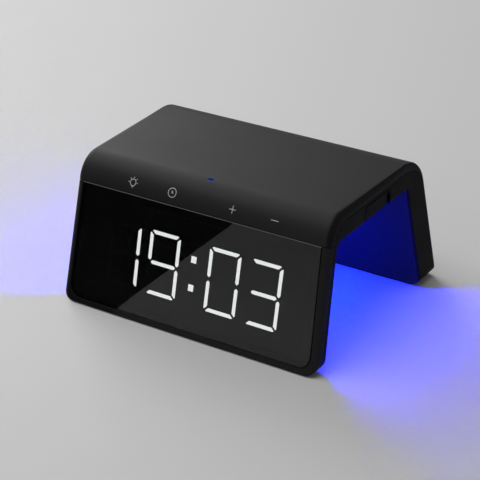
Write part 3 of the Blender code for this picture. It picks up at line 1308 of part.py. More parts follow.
def main():
    start()
    looks = make_looks()
    body, hollow = make_body_cutters()
    make_top_cover(body, hollow, looks["cover"])
    make_window(looks["window"])
    pockets = foot_pockets()
    make_bezel(body, pockets, looks["bezel"])
    make_housing(body, hollow, pockets, looks["housing"])
    make_deck_frame(looks["inner_plastic"])
    make_board_frame(looks["inner_plastic"])
    make_rear_panel(looks["panel"])
    make_display(looks)
    make_touch_film(looks["film"])
    make_charge_light(body, looks)
    make_coil(looks)
    make_charger_board(looks["board"])
    make_lamp(looks)
    make_battery(body, looks)
    make_main_board(looks)
    make_ribbon(looks["cable"])
    make_feet(looks["rubber"])
    make_screws(looks["steel"])


main()
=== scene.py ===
# %% [markdown]
# A bedside clock that charges a phone
#
# The clock is a small bridge of black plastic. This lesson dresses its engineering model for a
# portrait: shells with rounded edges, moulded and painted plastics, a smoked window with lit digits
# behind it, printed key symbols, and a blue lamp under the deck. The engineering model is loaded
# first and is never moved, so each piece made here is placed in the same metres.

# %% Load the engineering model
import json
import math

import bmesh
import bpy
from mathutils import Matrix, Vector

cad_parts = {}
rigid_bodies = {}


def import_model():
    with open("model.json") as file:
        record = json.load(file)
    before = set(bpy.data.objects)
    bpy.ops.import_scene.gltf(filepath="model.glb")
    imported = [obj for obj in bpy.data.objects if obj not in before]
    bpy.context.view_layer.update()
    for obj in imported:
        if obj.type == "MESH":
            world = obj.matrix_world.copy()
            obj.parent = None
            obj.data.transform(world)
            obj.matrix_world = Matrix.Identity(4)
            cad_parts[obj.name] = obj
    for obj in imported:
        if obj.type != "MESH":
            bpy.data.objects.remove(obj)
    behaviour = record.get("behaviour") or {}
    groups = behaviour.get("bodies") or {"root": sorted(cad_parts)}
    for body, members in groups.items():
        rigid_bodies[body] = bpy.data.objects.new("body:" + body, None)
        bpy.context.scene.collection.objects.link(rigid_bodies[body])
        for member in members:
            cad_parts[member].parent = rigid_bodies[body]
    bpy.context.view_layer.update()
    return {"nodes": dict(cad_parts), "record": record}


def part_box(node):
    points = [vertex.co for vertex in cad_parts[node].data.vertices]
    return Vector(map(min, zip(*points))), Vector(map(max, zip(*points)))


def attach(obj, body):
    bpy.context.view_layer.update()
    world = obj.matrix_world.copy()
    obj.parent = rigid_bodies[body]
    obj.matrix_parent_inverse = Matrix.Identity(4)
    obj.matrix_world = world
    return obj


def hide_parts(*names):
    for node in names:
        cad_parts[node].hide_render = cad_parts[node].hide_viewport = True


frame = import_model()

MM = 0.001

# %% [markdown]
# The portrait looks down on the clock from its front right. The camera's turn is written as a
# photographer says it: how far round, how high, and how far tilted. A long lens keeps the edges
# nearly parallel, as in a catalogue.

# %% Camera
AROUND = math.radians(33.97)
ABOVE = math.radians(27.36)
TILT = math.radians(-1.36)
STANDS_AT = Vector((0.44876, -0.67559, 0.44899))
LENS = 125.29


def camera_turn(around, above, tilt):
    """A camera's axes as a matrix: its right, its up and its back."""
    back = Vector((math.sin(around) * math.cos(above), -math.cos(around) * math.cos(above),
                   math.sin(above)))
    level = (-back).cross(Vector((0, 0, 1))).normalized()
    upright = level.cross(-back)
    right = math.cos(tilt) * level + math.sin(tilt) * upright
    up = math.cos(tilt) * upright - math.sin(tilt) * level
    return Matrix((right, up, back)).transposed().to_4x4()


camera_data = bpy.data.cameras.new("portrait")
camera_data.lens = LENS
camera_data.sensor_width = 36
camera_data.clip_start, camera_data.clip_end = 0.01, 20
camera = bpy.data.objects.new("portrait", camera_data)
camera.matrix_world = Matrix.Translation(STANDS_AT) @ camera_turn(AROUND, ABOVE, TILT)
bpy.context.scene.collection.objects.link(camera)
bpy.context.scene.camera = camera
print("the camera stands", round(STANDS_AT.length, 3), "m from the clock")

# %% [markdown]
# Every finish below is a small tree of nodes. Three helpers keep them short: one turns a hex colour
# into the linear values that a shader works in, one adds a node with its settings and links, and one
# starts a material. Values that never change over a surface are set on the shader's own sockets.

# %% Helpers for materials


def linear(code):
    """Linear colour of an sRGB hex code."""
    channels = [int(code[i:i + 2], 16) / 255 for i in (1, 3, 5)]
    turned = [c / 12.92 if c <= 0.04045 else ((c + 0.055) / 1.055) ** 2.4 for c in channels]
    return (*turned, 1.0)


def add_node(tree, kind, settings=None, inputs=None):
    """Adds a node. Each input is a value, or a socket of another node to link from."""
    node = tree.nodes.new(kind)
    for name, value in (settings or {}).items():
        setattr(node, name, value)
    for name, value in (inputs or {}).items():
        if isinstance(value, bpy.types.NodeSocket):
            tree.links.new(value, node.inputs[name])
        else:
            node.inputs[name].default_value = value
    return node


def start_finish(name, code, roughness, **sockets):
    """A new material with its tree and its Principled shader."""
    made = bpy.data.materials.new(name)
    made.use_nodes = True
    shader = made.node_tree.nodes["Principled BSDF"]
    shader.inputs["Base Color"].default_value = linear(code)
    shader.inputs["Roughness"].default_value = roughness
    for socket, value in sockets.items():
        shader.inputs[socket.replace("_", " ")].default_value = value
    return made, made.node_tree, shader


# %% [markdown]
# Moulded plastic is seldom smooth. Sparks eat a fine pebble into the steel mould, and every moulding
# copies it. The pebble here is a noise at the texture's real pitch, fed to a bump. A second, much
# wider noise shifts the roughness a little, as uneven texture and handling do on a real housing.

# %% A pebbled surface
WORN_PATCH = 25 * MM                                        # size of the duller and shinier patches


def add_pebble(tree, shader, pitch, height, low, high):
    """Pebble of a pitch and height in metres, and roughness that wanders from low to high."""
    place = add_node(tree, "ShaderNodeTexCoord").outputs["Object"]
    pebble = add_node(tree, "ShaderNodeTexNoise", None,
                      {"Vector": place, "Scale": 1 / pitch, "Detail": 2.0, "Roughness": 0.6})
    bump = add_node(tree, "ShaderNodeBump", None,
                    {"Height": pebble.outputs["Fac"], "Distance": height, "Strength": 1.0})
    tree.links.new(bump.outputs["Normal"], shader.inputs["Normal"])
    patch = add_node(tree, "ShaderNodeTexNoise", None,
                     {"Vector": place, "Scale": 1 / WORN_PATCH, "Detail": 3.0})
    wander = add_node(tree, "ShaderNodeMapRange", None,
                      {"Value": patch.outputs["Fac"], "From Min": 0.3, "From Max": 0.7,
                       "To Min": low, "To Max": high})
    tree.links.new(wander.outputs["Result"], shader.inputs["Roughness"])


def pebbled(name, code, pitch, height, low, high, **sockets):
    """A material whose whole surface is pebbled."""
    made, tree, shader = start_finish(name, code, (low + high) / 2, **sockets)
    add_pebble(tree, shader, pitch, height, low, high)
    return made


# %% [markdown]
# Three black plastics make the body. The deck has a soft-touch paint, a matt rubbery film that
# spreads a highlight wide. The housing is bare ABS from a sparked mould, whose deep pebble swallows
# most of the glint. The bezel comes from a finer mould and is a touch glossier.

# %% Black plastics
soft_paint = pebbled("soft_touch_paint_on_abs", "#18181a", 0.35 * MM, 0.003 * MM, 0.54, 0.57,
                     Specular_IOR_Level=0.2)
spark_abs = pebbled("spark_textured_abs", "#101011", 0.45 * MM, 0.006 * MM, 0.55, 0.65,
                    Specular_IOR_Level=0.05)
satin_abs = pebbled("satin_moulded_abs", "#0c0c0d", 0.3 * MM, 0.003 * MM, 0.42, 0.48,
                    Specular_IOR_Level=0.24)
print("black plastics:", [m.name for m in (soft_paint, spark_abs, satin_abs)])

# %% [markdown]
# The display hides behind smoked acrylic: clear sheet with dye all through it. It mirrors the room
# like glass and lets little light through, so the dark parts behind it vanish and only the lit
# digits show. Their light is stronger than it looks, because the window takes most of it.

# %% Window and mask
RIPPLE_LONG = 40 * MM
RIPPLE_DEEP = 0.01 * MM

smoked_acrylic, tree, shader = start_finish(
    "smoked_cast_acrylic", "#505052", 0.01, IOR=1.49, Transmission_Weight=1.0)
place = add_node(tree, "ShaderNodeTexCoord").outputs["Object"]
ripple = add_node(tree, "ShaderNodeTexNoise", None,
                  {"Vector": place, "Scale": 1 / RIPPLE_LONG, "Detail": 0.0})
bump = add_node(tree, "ShaderNodeBump", None,
                {"Height": ripple.outputs["Fac"], "Distance": RIPPLE_DEEP, "Strength": 1.0})
tree.links.new(bump.outputs["Normal"], shader.inputs["Normal"])
# This black ink also goes on the window's rim, where it is painted shade.
matt_ink_and_painted_shade = pebbled("matt_black_ink_and_painted_shade", "#060606", 0.5 * MM, 0.004 * MM, 0.75, 0.85,
                   Specular_IOR_Level=0.03)
dark_diffuser = pebbled("unlit_smoked_diffuser", "#101011", 0.8 * MM, 0.003 * MM, 0.5, 0.6)
print("display:", [m.name for m in (smoked_acrylic, matt_ink_and_painted_shade, dark_diffuser)])

# %% [markdown]
# Two plastics glow. The digits' strokes are milky acrylic over light chips, nearly white. The lamp
# is opal polycarbonate lit by eight blue chips, a little brighter under each. The lamp's light leaves
# through its lower face only, so its glow is switched by height: everything above the ceiling's face
# stays dark.

# %% Lit plastics
UNEVEN = 0.05                                               # share by which the light varies


def lit(name, code, light, strength, pitch, below=None):
    """Plastic with light behind it: uneven by a few percent, and dark above a height if given."""
    made, tree, shader = start_finish(name, code, 0.35, Specular_IOR_Level=0.2)
    place = add_node(tree, "ShaderNodeTexCoord").outputs["Object"]
    cloud = add_node(tree, "ShaderNodeTexNoise", None,
                     {"Vector": place, "Scale": 1 / pitch, "Detail": 1.0})
    level = add_node(tree, "ShaderNodeMapRange", None,
                     {"Value": cloud.outputs["Fac"], "To Min": (1 - UNEVEN) * strength,
                      "To Max": (1 + UNEVEN) * strength}).outputs["Result"]
    if below is not None:
        height = add_node(tree, "ShaderNodeSeparateXYZ", None, {"Vector": place}).outputs["Z"]
        face = add_node(tree, "ShaderNodeMath", {"operation": "LESS_THAN"})
        tree.links.new(height, face.inputs[0])
        face.inputs[1].default_value = below
        shown = add_node(tree, "ShaderNodeMath", {"operation": "MULTIPLY"})
        tree.links.new(level, shown.inputs[0])
        tree.links.new(face.outputs["Value"], shown.inputs[1])
        level = shown.outputs["Value"]
    shader.inputs["Emission Color"].default_value = light
    tree.links.new(level, shader.inputs["Emission Strength"])
    return made


CEILING = 65.7 * MM
LIT_SKIN = 0.4 * MM                                         # the lens glows up to here
CHIP_PITCH = 9.3 * MM
WARM_WHITE = (0.97, 1.0, 0.95, 1.0)
PURE_BLUE = (0.002, 0.012, 1.0, 1.0)

digit_light = lit("lit_milky_acrylic", "#e8e8e4", WARM_WHITE, 10.2, 3 * MM)
lamp_light = lit("opal_polycarbonate_lit_blue", "#a8b4d0", PURE_BLUE, 240.0, CHIP_PITCH,
                 below=CEILING + LIT_SKIN)
print("lit plastics:", [m.name for m in (digit_light, lamp_light)])

# %% [markdown]
# The charge light is a clear pipe with a blue chip at its far end. Seen from above, the chip is the
# deep blue middle, and the pipe's polished wall carries a paler glow round it. The paint beside it
# is given a faint blue glow of its own, a painted glow. So both finishes change with the distance
# from the pipe's axis, measured on an oval.

# %% Charge light


def glow_by_distance(tree, shader, axis, oval, near, inner, outer):
    """Emission of the colour inner round an axis, changing from near to the oval's edge to outer."""
    scale = Vector((1 / oval[0], 1 / oval[1], 0))
    shift = Vector((-axis.x * scale.x, -axis.y * scale.y, 0))
    spot = add_node(tree, "ShaderNodeMapping", None, {
        "Vector": add_node(tree, "ShaderNodeTexCoord").outputs["Object"],
        "Scale": scale, "Location": shift})
    away = add_node(tree, "ShaderNodeVectorMath", {"operation": "LENGTH"})
    tree.links.new(spot.outputs["Vector"], away.inputs[0])
    fade = add_node(tree, "ShaderNodeMapRange", {"interpolation_type": "SMOOTHSTEP"},
                    {"Value": away.outputs["Value"], "From Min": near, "From Max": 1.0})
    glow = add_node(tree, "ShaderNodeMix", {"data_type": "RGBA"})
    tree.links.new(fade.outputs["Result"], glow.inputs["Factor"])
    glow.inputs["A"].default_value = inner
    glow.inputs["B"].default_value = outer
    tree.links.new(glow.outputs["Result"], shader.inputs["Emission Color"])
    shader.inputs["Emission Strength"].default_value = 1.0


DEEP_BLUE = (0.0, 0.016, 0.11, 1.0)
PALE_BLUE = (0.03, 0.07, 0.2, 1.0)
PAINTED_GLOW_BLUE = (0.0, 0.02, 0.12, 1.0)
UNLIT = (0.0, 0.0, 0.0, 1.0)

pipe_low, pipe_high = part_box("charge_light_pipe")
pipe_axis = (pipe_low + pipe_high) / 2
pipe_light, tree, shader = start_finish("clear_light_pipe_lit_blue", "#02060c", 0.5,
                                        Specular_IOR_Level=0.0)
glow_by_distance(tree, shader, pipe_axis, (1.9 * MM, 0.95 * MM), 0.7, DEEP_BLUE, PALE_BLUE)
# A painted blue glow in the paint round the charge light: the paint itself emits light.
tree = soft_paint.node_tree
glow_by_distance(tree, tree.nodes["Principled BSDF"], pipe_axis, (3.0 * MM, 2.4 * MM), 0.3,
                 PAINTED_GLOW_BLUE, UNLIT)
print("charge light in mm:", [round(v / MM, 1) for v in pipe_high - pipe_low])

# %% [markdown]
# The shells start as the engineering solids, whose edges are knife sharp. No moulding is: its edges
# are round by a few tenths of a millimetre, and that roundness is what draws a fine light line along
# each seam. So every shell is a welded copy of its solid with a small bevel on its sharp edges.
# Normals weighted by face size keep its flats flat. The tray's bevelled edges get a near-black
# finish, painted shade, so the seam round its door shows as a thin dark line.

# %% Shells with real edges
WELD = 0.002 * MM
FLAT = math.radians(0.5)                                    # faces that turn less than this are joined


def shell(node, name, material, edge, body="clock", angle=30.0, edge_painted_shade=None):
    """A welded copy of a solid that stands for it, with round edges and smooth curves."""
    mesh = frame["nodes"][node].data.copy()
    mesh.name = name
    mesh.materials.clear()
    mesh.materials.append(material)
    solid = bmesh.new()
    solid.from_mesh(mesh)
    bmesh.ops.remove_doubles(solid, verts=solid.verts, dist=WELD)
    bmesh.ops.dissolve_limit(solid, angle_limit=FLAT, verts=solid.verts, edges=solid.edges)
    solid.to_mesh(mesh)
    solid.free()
    mesh.shade_smooth()
    mesh.set_sharp_from_angle(angle=math.radians(angle))
    piece = bpy.data.objects.new(name, mesh)
    bpy.context.scene.collection.objects.link(piece)
    soften = piece.modifiers.new("soften", "BEVEL")
    soften.width = edge
    soften.segments = 2
    soften.limit_method = "ANGLE"
    soften.angle_limit = math.radians(angle)
    soften.harden_normals = True
    # An edge finish given here is painted shade on the bevels.
    if edge_painted_shade is not None:
        mesh.materials.append(edge_painted_shade)
        soften.material = 1
    weigh = piece.modifiers.new("weigh", "WEIGHTED_NORMAL")
    weigh.keep_sharp = True
    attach(piece, body)
    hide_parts(node)
    return piece


# Near-black finish for the tray's bevelled edges: painted shade along the door's seam.
painted_seam_shade_abs = pebbled("abs_edge_painted_seam_shade", "#050505", 0.4 * MM, 0.004 * MM, 0.8, 0.9,
                   Specular_IOR_Level=0.02)
shells = [
    shell("top_cover", "painted_cover", soft_paint, 0.2 * MM),
    shell("front_bezel", "bezel_shell", satin_abs, 0.15 * MM),
    shell("arch_housing", "housing_shell", spark_abs, 0.25 * MM),
    shell("rear_panel", "rear_panel_shell", spark_abs, 0.15 * MM),
    shell("battery_tray", "tray_shell", spark_abs, 0.35 * MM, "battery_tray",
          edge_painted_shade=painted_seam_shade_abs),
    shell("display_window", "smoked_window", smoked_acrylic, 0.25 * MM),
    shell("lamp_lens", "lamp_opal", lamp_light, 0.15 * MM),
    shell("charge_light_pipe", "charge_light", pipe_light, 0.1 * MM),
]
print("shells:", {piece.name: len(piece.data.polygons) for piece in shells})

# %% [markdown]
# Some shells have a second finish on a few of their faces. A helper gives it to the faces that pass
# a test. The first to need it is the cover: its side walls get a darker, duller copy of its paint,
# painted shade that keeps them darker than the deck, with a crisp line between the two. The bezel's
# sides get a paler, duller copy of its plastic, painted light that makes them lighter than its front.

# %% The side walls of cover and bezel
WALL_TURN = 0.35                                            # sideways part of a wall face's normal


def dress_faces(piece, material, chosen):
    """Gives another finish to the faces that pass the test chosen, and returns their number."""
    piece.data.materials.append(material)
    faces = [face for face in piece.data.polygons if chosen(face)]
    for face in faces:
        face.material_index = len(piece.data.materials) - 1
    return len(faces)


def looks_sideways(face):
    """If a face is more wall than deck."""
    return abs(face.normal.x) > WALL_TURN


# Darker copy of the cover's paint for its side walls: painted shade.
painted_shade_wall_paint = pebbled("soft_touch_paint_painted_shade", "#161617", 0.45 * MM, 0.006 * MM, 0.55, 0.62,
                     Specular_IOR_Level=0.08)
# Paler copy of the bezel's plastic for its sides: painted light.
painted_light_wall_abs = pebbled("moulded_abs_painted_light", "#242425", 0.45 * MM, 0.006 * MM, 0.55, 0.65,
                      Specular_IOR_Level=0.05)
cover = next(piece for piece in shells if piece.name == "painted_cover")
bezel = next(piece for piece in shells if piece.name == "bezel_shell")
print("faces of the cover's walls:", dress_faces(cover, painted_shade_wall_paint, looks_sideways),
      "of the bezel's:", dress_faces(bezel, painted_light_wall_abs, looks_sideways))

# %% [markdown]
# The arch's inside gets a smoother, paler copy of the housing's plastic: painted light, so that it
# shows more of the lamp's blue light. Its faces are those of the housing that look towards the
# middle of the arch.

# %% The arch's lining
LINING_TURN = 0.3                                           # sideways part of a lining face's normal
LEG_BOTTOM = 3 * MM
INSIDE_ARCH = 20 * MM                                       # a height well below the ceiling

# Paler than the housing where the lamp's light falls: painted light.
painted_light_lining_abs = pebbled("abs_lining_painted_light", "#1d1d1f", 0.5 * MM, 0.003 * MM, 0.45, 0.5,
                     Specular_IOR_Level=0.08)
housing = next(piece for piece in shells if piece.name == "housing_shell")
box_low, box_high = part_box("arch_housing")
arch_middle = Vector((0, (box_low.y + box_high.y) / 2, INSIDE_ARCH))


def looks_into_arch(face):
    """If a face looks towards the middle of the arch, without the sides and the legs' bottoms."""
    inward = face.normal.dot(arch_middle - face.center) > 0
    return inward and abs(face.normal.x) < LINING_TURN and face.center.z > LEG_BOTTOM


print("faces of the lining:", dress_faces(housing, painted_light_lining_abs, looks_into_arch))

# %% [markdown]
# The window's rim gets two painted finishes. The round of its upper edge is pale: a painted
# highlight that draws a fine light line under the cover. The other rim faces get black ink: painted
# shade that leaves a dark line between window and bezel. The rim's faces are those that don't look
# straight out or in, and the upper ones look up the slope.

# %% The window's rim
FLAT_ON = 0.98                                              # a face's share of straight out or in
EDGE_OUT, EDGE_UP = 0.8, 0.3                                # shares of the upper edge's round
LEAN = math.radians(14.5)
OUTWARD = Vector((0, -math.cos(LEAN), math.sin(LEAN)))
UPSLOPE = Vector((0, math.sin(LEAN), math.cos(LEAN)))
# Pale finish for the window's upper edge: a painted highlight.
painted_highlight_rim = pebbled("acrylic_edge_painted_highlight", "#808284", 0.2 * MM, 0.004 * MM, 0.6, 0.7,
                      Specular_IOR_Level=0.2)
window = next(piece for piece in shells if piece.name == "smoked_window")
view = bpy.context.evaluated_depsgraph_get()
rimmed = bpy.data.meshes.new_from_object(window.evaluated_get(view), preserve_all_data_layers=True,
                                         depsgraph=view)
window.modifiers.clear()
window.data = rimmed


def is_rim(face):
    """If a face of the window looks neither out nor in."""
    return abs(face.normal.dot(OUTWARD)) < FLAT_ON


def is_upper_edge(face):
    """If a face is on the round of the window's upper edge."""
    return face.normal.dot(OUTWARD) > EDGE_OUT and face.normal.dot(UPSLOPE) > EDGE_UP


# The rim's black ink is painted shade; the pale upper edge is a painted highlight.
print("faces of the rim:", dress_faces(window, matt_ink_and_painted_shade, is_rim),
      "of its upper edge:", dress_faces(window, painted_highlight_rim, is_upper_edge))

# %% [markdown]
# Inside the clock, and under it, are plainer things: rubber feet, plated screws, circuit boards with
# their solder mask, a copper coil on ferrite. They keep their engineering solids and get finishes of
# their own, because a buyer turns the clock over and slides the battery's tray out.

# %% Finishes of everything else
rubber = pebbled("moulded_rubber", "#1c1c1c", 0.6 * MM, 0.01 * MM, 0.8, 0.9)
nickel = pebbled("nickel_plated_steel", "#c8c6c0", 0.5 * MM, 0.001 * MM, 0.2, 0.3, Metallic=1.0)
green_mask = pebbled("green_solder_mask", "#0f4a24", 1.0 * MM, 0.004 * MM, 0.3, 0.4)
white_mask = pebbled("white_solder_mask", "#e6e6e0", 1.0 * MM, 0.004 * MM, 0.35, 0.45)
amber_film = pebbled("polyimide_film", "#a4601c", 0.8 * MM, 0.002 * MM, 0.25, 0.35)
ribbon_vinyl = pebbled("black_flat_cable_vinyl", "#131314", 1.0 * MM, 0.002 * MM, 0.35, 0.45)
copper = pebbled("enamelled_copper_wire", "#b8683a", 1.0 * MM, 0.002 * MM, 0.25, 0.35, Metallic=1.0)
ferrite = pebbled("sintered_ferrite", "#2c2c2e", 0.4 * MM, 0.01 * MM, 0.55, 0.7)
inner_abs = pebbled("plain_moulded_abs", "#242426", 0.6 * MM, 0.004 * MM, 0.5, 0.6)

FINISHES = {
    "rubber": rubber, "steel": nickel, "board": green_mask, "white_board": white_mask,
    "film": amber_film, "cable": ribbon_vinyl, "copper": copper, "ferrite": ferrite,
    "inner_plastic": inner_abs, "mask": matt_ink_and_painted_shade, "diffuser": dark_diffuser,
    "housing": spark_abs, "cover": soft_paint, "panel": spark_abs, "bezel": satin_abs,
    "window": smoked_acrylic, "lamp_lens": lamp_light, "light_pipe": pipe_light,
}
for part in frame["record"]["subparts"]:
    data = frame["nodes"][part["node"]].data
    data.materials.clear()
    data.materials.append(FINISHES[part["material_slot"]])

# %% [markdown]
# Two pieces are made with Geometry Nodes, because each repeats a simple form by a rule. One helper
# makes an empty tree with named inputs. One ends a tree: it makes every copy a real mesh and gives it
# its material. The last runs a tree on a mesh and keeps the result as a plain mesh.

# %% Helpers for Geometry Nodes


def node_tree(name, inputs):
    """An empty tree with named inputs, and its two end nodes."""
    tree = bpy.data.node_groups.new(name, "GeometryNodeTree")
    tree.interface.new_socket("Geometry", in_out="INPUT", socket_type="NodeSocketGeometry")
    for label, kind in inputs.items():
        tree.interface.new_socket(label, in_out="INPUT", socket_type="NodeSocket" + kind)
    tree.interface.new_socket("Geometry", in_out="OUTPUT", socket_type="NodeSocketGeometry")
    return tree, tree.nodes.new("NodeGroupInput"), tree.nodes.new("NodeGroupOutput")


def end_tree(tree, geometry, given, made):
    """Ends a tree with real meshes that wear the material of its input Finish."""
    real = add_node(tree, "GeometryNodeRealizeInstances", None, {"Geometry": geometry})
    dressed = add_node(tree, "GeometryNodeSetMaterial", None,
                       {"Geometry": real.outputs["Geometry"], "Material": given.outputs["Finish"]})
    tree.links.new(dressed.outputs["Geometry"], made.inputs["Geometry"])
    print("tree:", tree.name, "with", len(tree.nodes), "nodes")


def grow(name, mesh, tree, values, place=None):
    """Runs a tree on a mesh with its inputs set, and gives a plain piece that rides on the clock."""
    source = bpy.data.objects.new(name + "_source", mesh)
    bpy.context.scene.collection.objects.link(source)
    run = source.modifiers.new("run", "NODES")
    run.node_group = tree
    for socket in tree.interface.items_tree:
        if socket.in_out == "INPUT" and socket.name in values:
            run[socket.identifier] = values[socket.name]
    view = bpy.context.evaluated_depsgraph_get()
    made = bpy.data.meshes.new_from_object(source.evaluated_get(view), depsgraph=view)
    bpy.data.objects.remove(source)
    if place is not None:
        made.transform(place)
    made.name = name
    piece = bpy.data.objects.new(name, made)
    bpy.context.scene.collection.objects.link(piece)
    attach(piece, "clock")
    return piece


# %% [markdown]
# A digit has seven strokes, cut on the diagonal where two meet at a corner. Four flat outlines are
# enough: the top stroke, the middle one, and an upright one for each hand. A half turn gives the
# other three. Letters name the strokes in the usual way, a at the top and clockwise to f, then g in
# the middle.

# %% Outlines of the strokes
DIGIT_WIDTH = 17.4 * MM
DIGIT_HALF = 16.5 * MM
STROKE = 2.0 * MM
BREAK = 1.8 * MM
NOSE = 0.45 * MM
DOT = (3.2 * MM, 3.6 * MM)

wide = STROKE / 2
nose = wide - NOSE
long = (DIGIT_WIDTH - BREAK) / 2
tall = (DIGIT_HALF - BREAK) / 2
top_stroke = [(-long + wide, -wide), (long - wide, -wide), (long + nose, nose),
              (long + nose - NOSE, wide), (-long - nose + NOSE, wide), (-long - nose, nose)]
middle_stroke = [(-long, 0), (-long + wide, -wide), (long - wide, -wide), (long, 0),
                 (long - wide, wide), (-long + wide, wide)]
right_stroke = [(0, -tall), (wide, -tall + wide), (wide, tall + nose - NOSE),
                (nose, tall + nose), (-wide, tall - wide), (-wide, -tall + wide)]
left_stroke = [(-x, y) for x, y in reversed(right_stroke)]
dot = [(DOT[0] / 2 * x, DOT[1] / 2 * y) for x, y in ((-1, -1), (1, -1), (1, 1), (-1, 1))]

strokes = bpy.data.collections.new("strokes")
bpy.context.scene.collection.children.link(strokes)
for name, outline in (("0_top", top_stroke), ("1_middle", middle_stroke), ("2_right", right_stroke),
                      ("3_left", left_stroke), ("4_dot", dot)):
    flat = bpy.data.meshes.new(name)
    flat.from_pydata([(x, y, 0) for x, y in outline], [], [range(len(outline))])
    strokes.objects.link(bpy.data.objects.new(name, flat))

# %% [markdown]
# The tree stands a stroke on every point, picks which by the point's kind, turns it, and then gives
# it a thickness. The plates lie in the mask's openings, a hair above the diffuser.

# %% Tree that stands strokes on points
WELD_NEAR = 0.001 * MM

stroke_tree, given, made = node_tree("lit_strokes", {"Strokes": "Collection", "Thickness": "Float",
                                                    "Finish": "Material"})
outlines = add_node(stroke_tree, "GeometryNodeCollectionInfo", None,
                    {"Collection": given.outputs["Strokes"], "Separate Children": True,
                     "Reset Children": True})
kind = add_node(stroke_tree, "GeometryNodeInputNamedAttribute", {"data_type": "INT"},
                {"Name": "kind"})
half_turns = add_node(stroke_tree, "GeometryNodeInputNamedAttribute", {"data_type": "FLOAT"},
                      {"Name": "turn"})
turned = add_node(stroke_tree, "ShaderNodeCombineXYZ", None, {"Z": half_turns.outputs["Attribute"]})
standing = add_node(stroke_tree, "GeometryNodeInstanceOnPoints", None,
                    {"Points": given.outputs["Geometry"], "Instance": outlines.outputs["Instances"],
                     "Pick Instance": True, "Instance Index": kind.outputs["Attribute"],
                     "Rotation": turned.outputs["Vector"]})
flats = add_node(stroke_tree, "GeometryNodeRealizeInstances", None,
                 {"Geometry": standing.outputs["Instances"]})
raised = add_node(stroke_tree, "GeometryNodeExtrudeMesh", None,
                  {"Mesh": flats.outputs["Geometry"], "Offset Scale": given.outputs["Thickness"],
                   "Individual": False})
backs = add_node(stroke_tree, "GeometryNodeFlipFaces", None, {"Mesh": flats.outputs["Geometry"]})
closed = add_node(stroke_tree, "GeometryNodeJoinGeometry")
stroke_tree.links.new(raised.outputs["Mesh"], closed.inputs["Geometry"])
stroke_tree.links.new(backs.outputs["Mesh"], closed.inputs["Geometry"])
welded = add_node(stroke_tree, "GeometryNodeMergeByDistance", None,
                  {"Geometry": closed.outputs["Geometry"], "Distance": WELD_NEAR})
end_tree(stroke_tree, welded.outputs["Geometry"], given, made)

# %% Points for the time, and the lit digits
DOT_KIND = 4
STROKES = {"a": (0, 0, 0, 1), "b": (2, 0, 0.5, 0.5), "c": (3, 1, 0.5, -0.5), "d": (0, 1, 0, -1),
           "e": (2, 1, -0.5, -0.5), "f": (3, 0, -0.5, 0.5), "g": (1, 0, 0, 0)}
DIGITS = {"0": "abcdef", "1": "bc", "3": "abcdg", "9": "abcdfg"}
TIME = (("1", -44.2 * MM), ("9", -18.9 * MM), ("0", 18.9 * MM), ("3", 44.2 * MM))
DIGIT_MIDDLE = 35.1 * MM
DOT_RISE = 7.7 * MM

points, kinds, turns = [], [], []
for digit, x in TIME:
    for letter in DIGITS[digit]:
        which, half, across, up = STROKES[letter]
        points.append((x + across * DIGIT_WIDTH, DIGIT_MIDDLE + up * DIGIT_HALF, 0))
        kinds.append(which)
        turns.append(half * math.pi)
for side in (-1, 1):
    points.append((0, DIGIT_MIDDLE + side * DOT_RISE, 0))
    kinds.append(DOT_KIND)
    turns.append(0.0)
time_points = bpy.data.meshes.new("time_points")
time_points.from_pydata(points, [], [])
time_points.attributes.new("kind", "INT", "POINT").data.foreach_set("value", kinds)
time_points.attributes.new("turn", "FLOAT", "POINT").data.foreach_set("value", turns)

FOOT_Y = -65.2 * MM                                         # where the front face meets the floor
STROKE_DEEP = 2.48 * MM                                     # behind the front face
STROKE_THICK = 0.08 * MM
front_face = Matrix(((1, 0, 0, 0), (0, math.sin(LEAN), -math.cos(LEAN), FOOT_Y),
                     (0, math.cos(LEAN), math.sin(LEAN), 0), (0, 0, 0, 1)))
digits = grow("lit_digits", time_points, stroke_tree,
              {"Strokes": strokes, "Thickness": STROKE_THICK, "Finish": digit_light},
              front_face @ Matrix.Translation((0, 0, -STROKE_DEEP)))
for flat in list(strokes.objects):
    bpy.data.objects.remove(flat)
bpy.data.collections.remove(strokes)
print("lit strokes:", len(points), "faces:", len(digits.data.polygons))

# %% [markdown]
# The touch keys are only marked: a lamp, a clock face, a plus and a minus, pad-printed in pale grey
# on the cover's front curve. They are drawn flat as thin lines. The tree gives the lines a width and
# a film's thickness, and then wraps the drawing round the curve: height on the paper becomes an
# angle, and thickness becomes a distance from the curve's axis. The plus's upright line has points
# all along it, because a line with only two would cut straight through the curve.

# %% Tree that prints lines on the curve
print_tree, given, made = node_tree("printed_lines", {
    "Line Width": "Float", "Film": "Float", "Radius": "Float", "Angle": "Float",
    "Axis Y": "Float", "Axis Z": "Float", "Finish": "Material"})


def calculate(operation, first, second=None):
    """A Math node on one or two sockets or values."""
    node = add_node(print_tree, "ShaderNodeMath", {"operation": operation})
    for slot, value in enumerate((first, second)):
        if isinstance(value, bpy.types.NodeSocket):
            print_tree.links.new(value, node.inputs[slot])
        elif value is not None:
            node.inputs[slot].default_value = value
    return node.outputs["Value"]


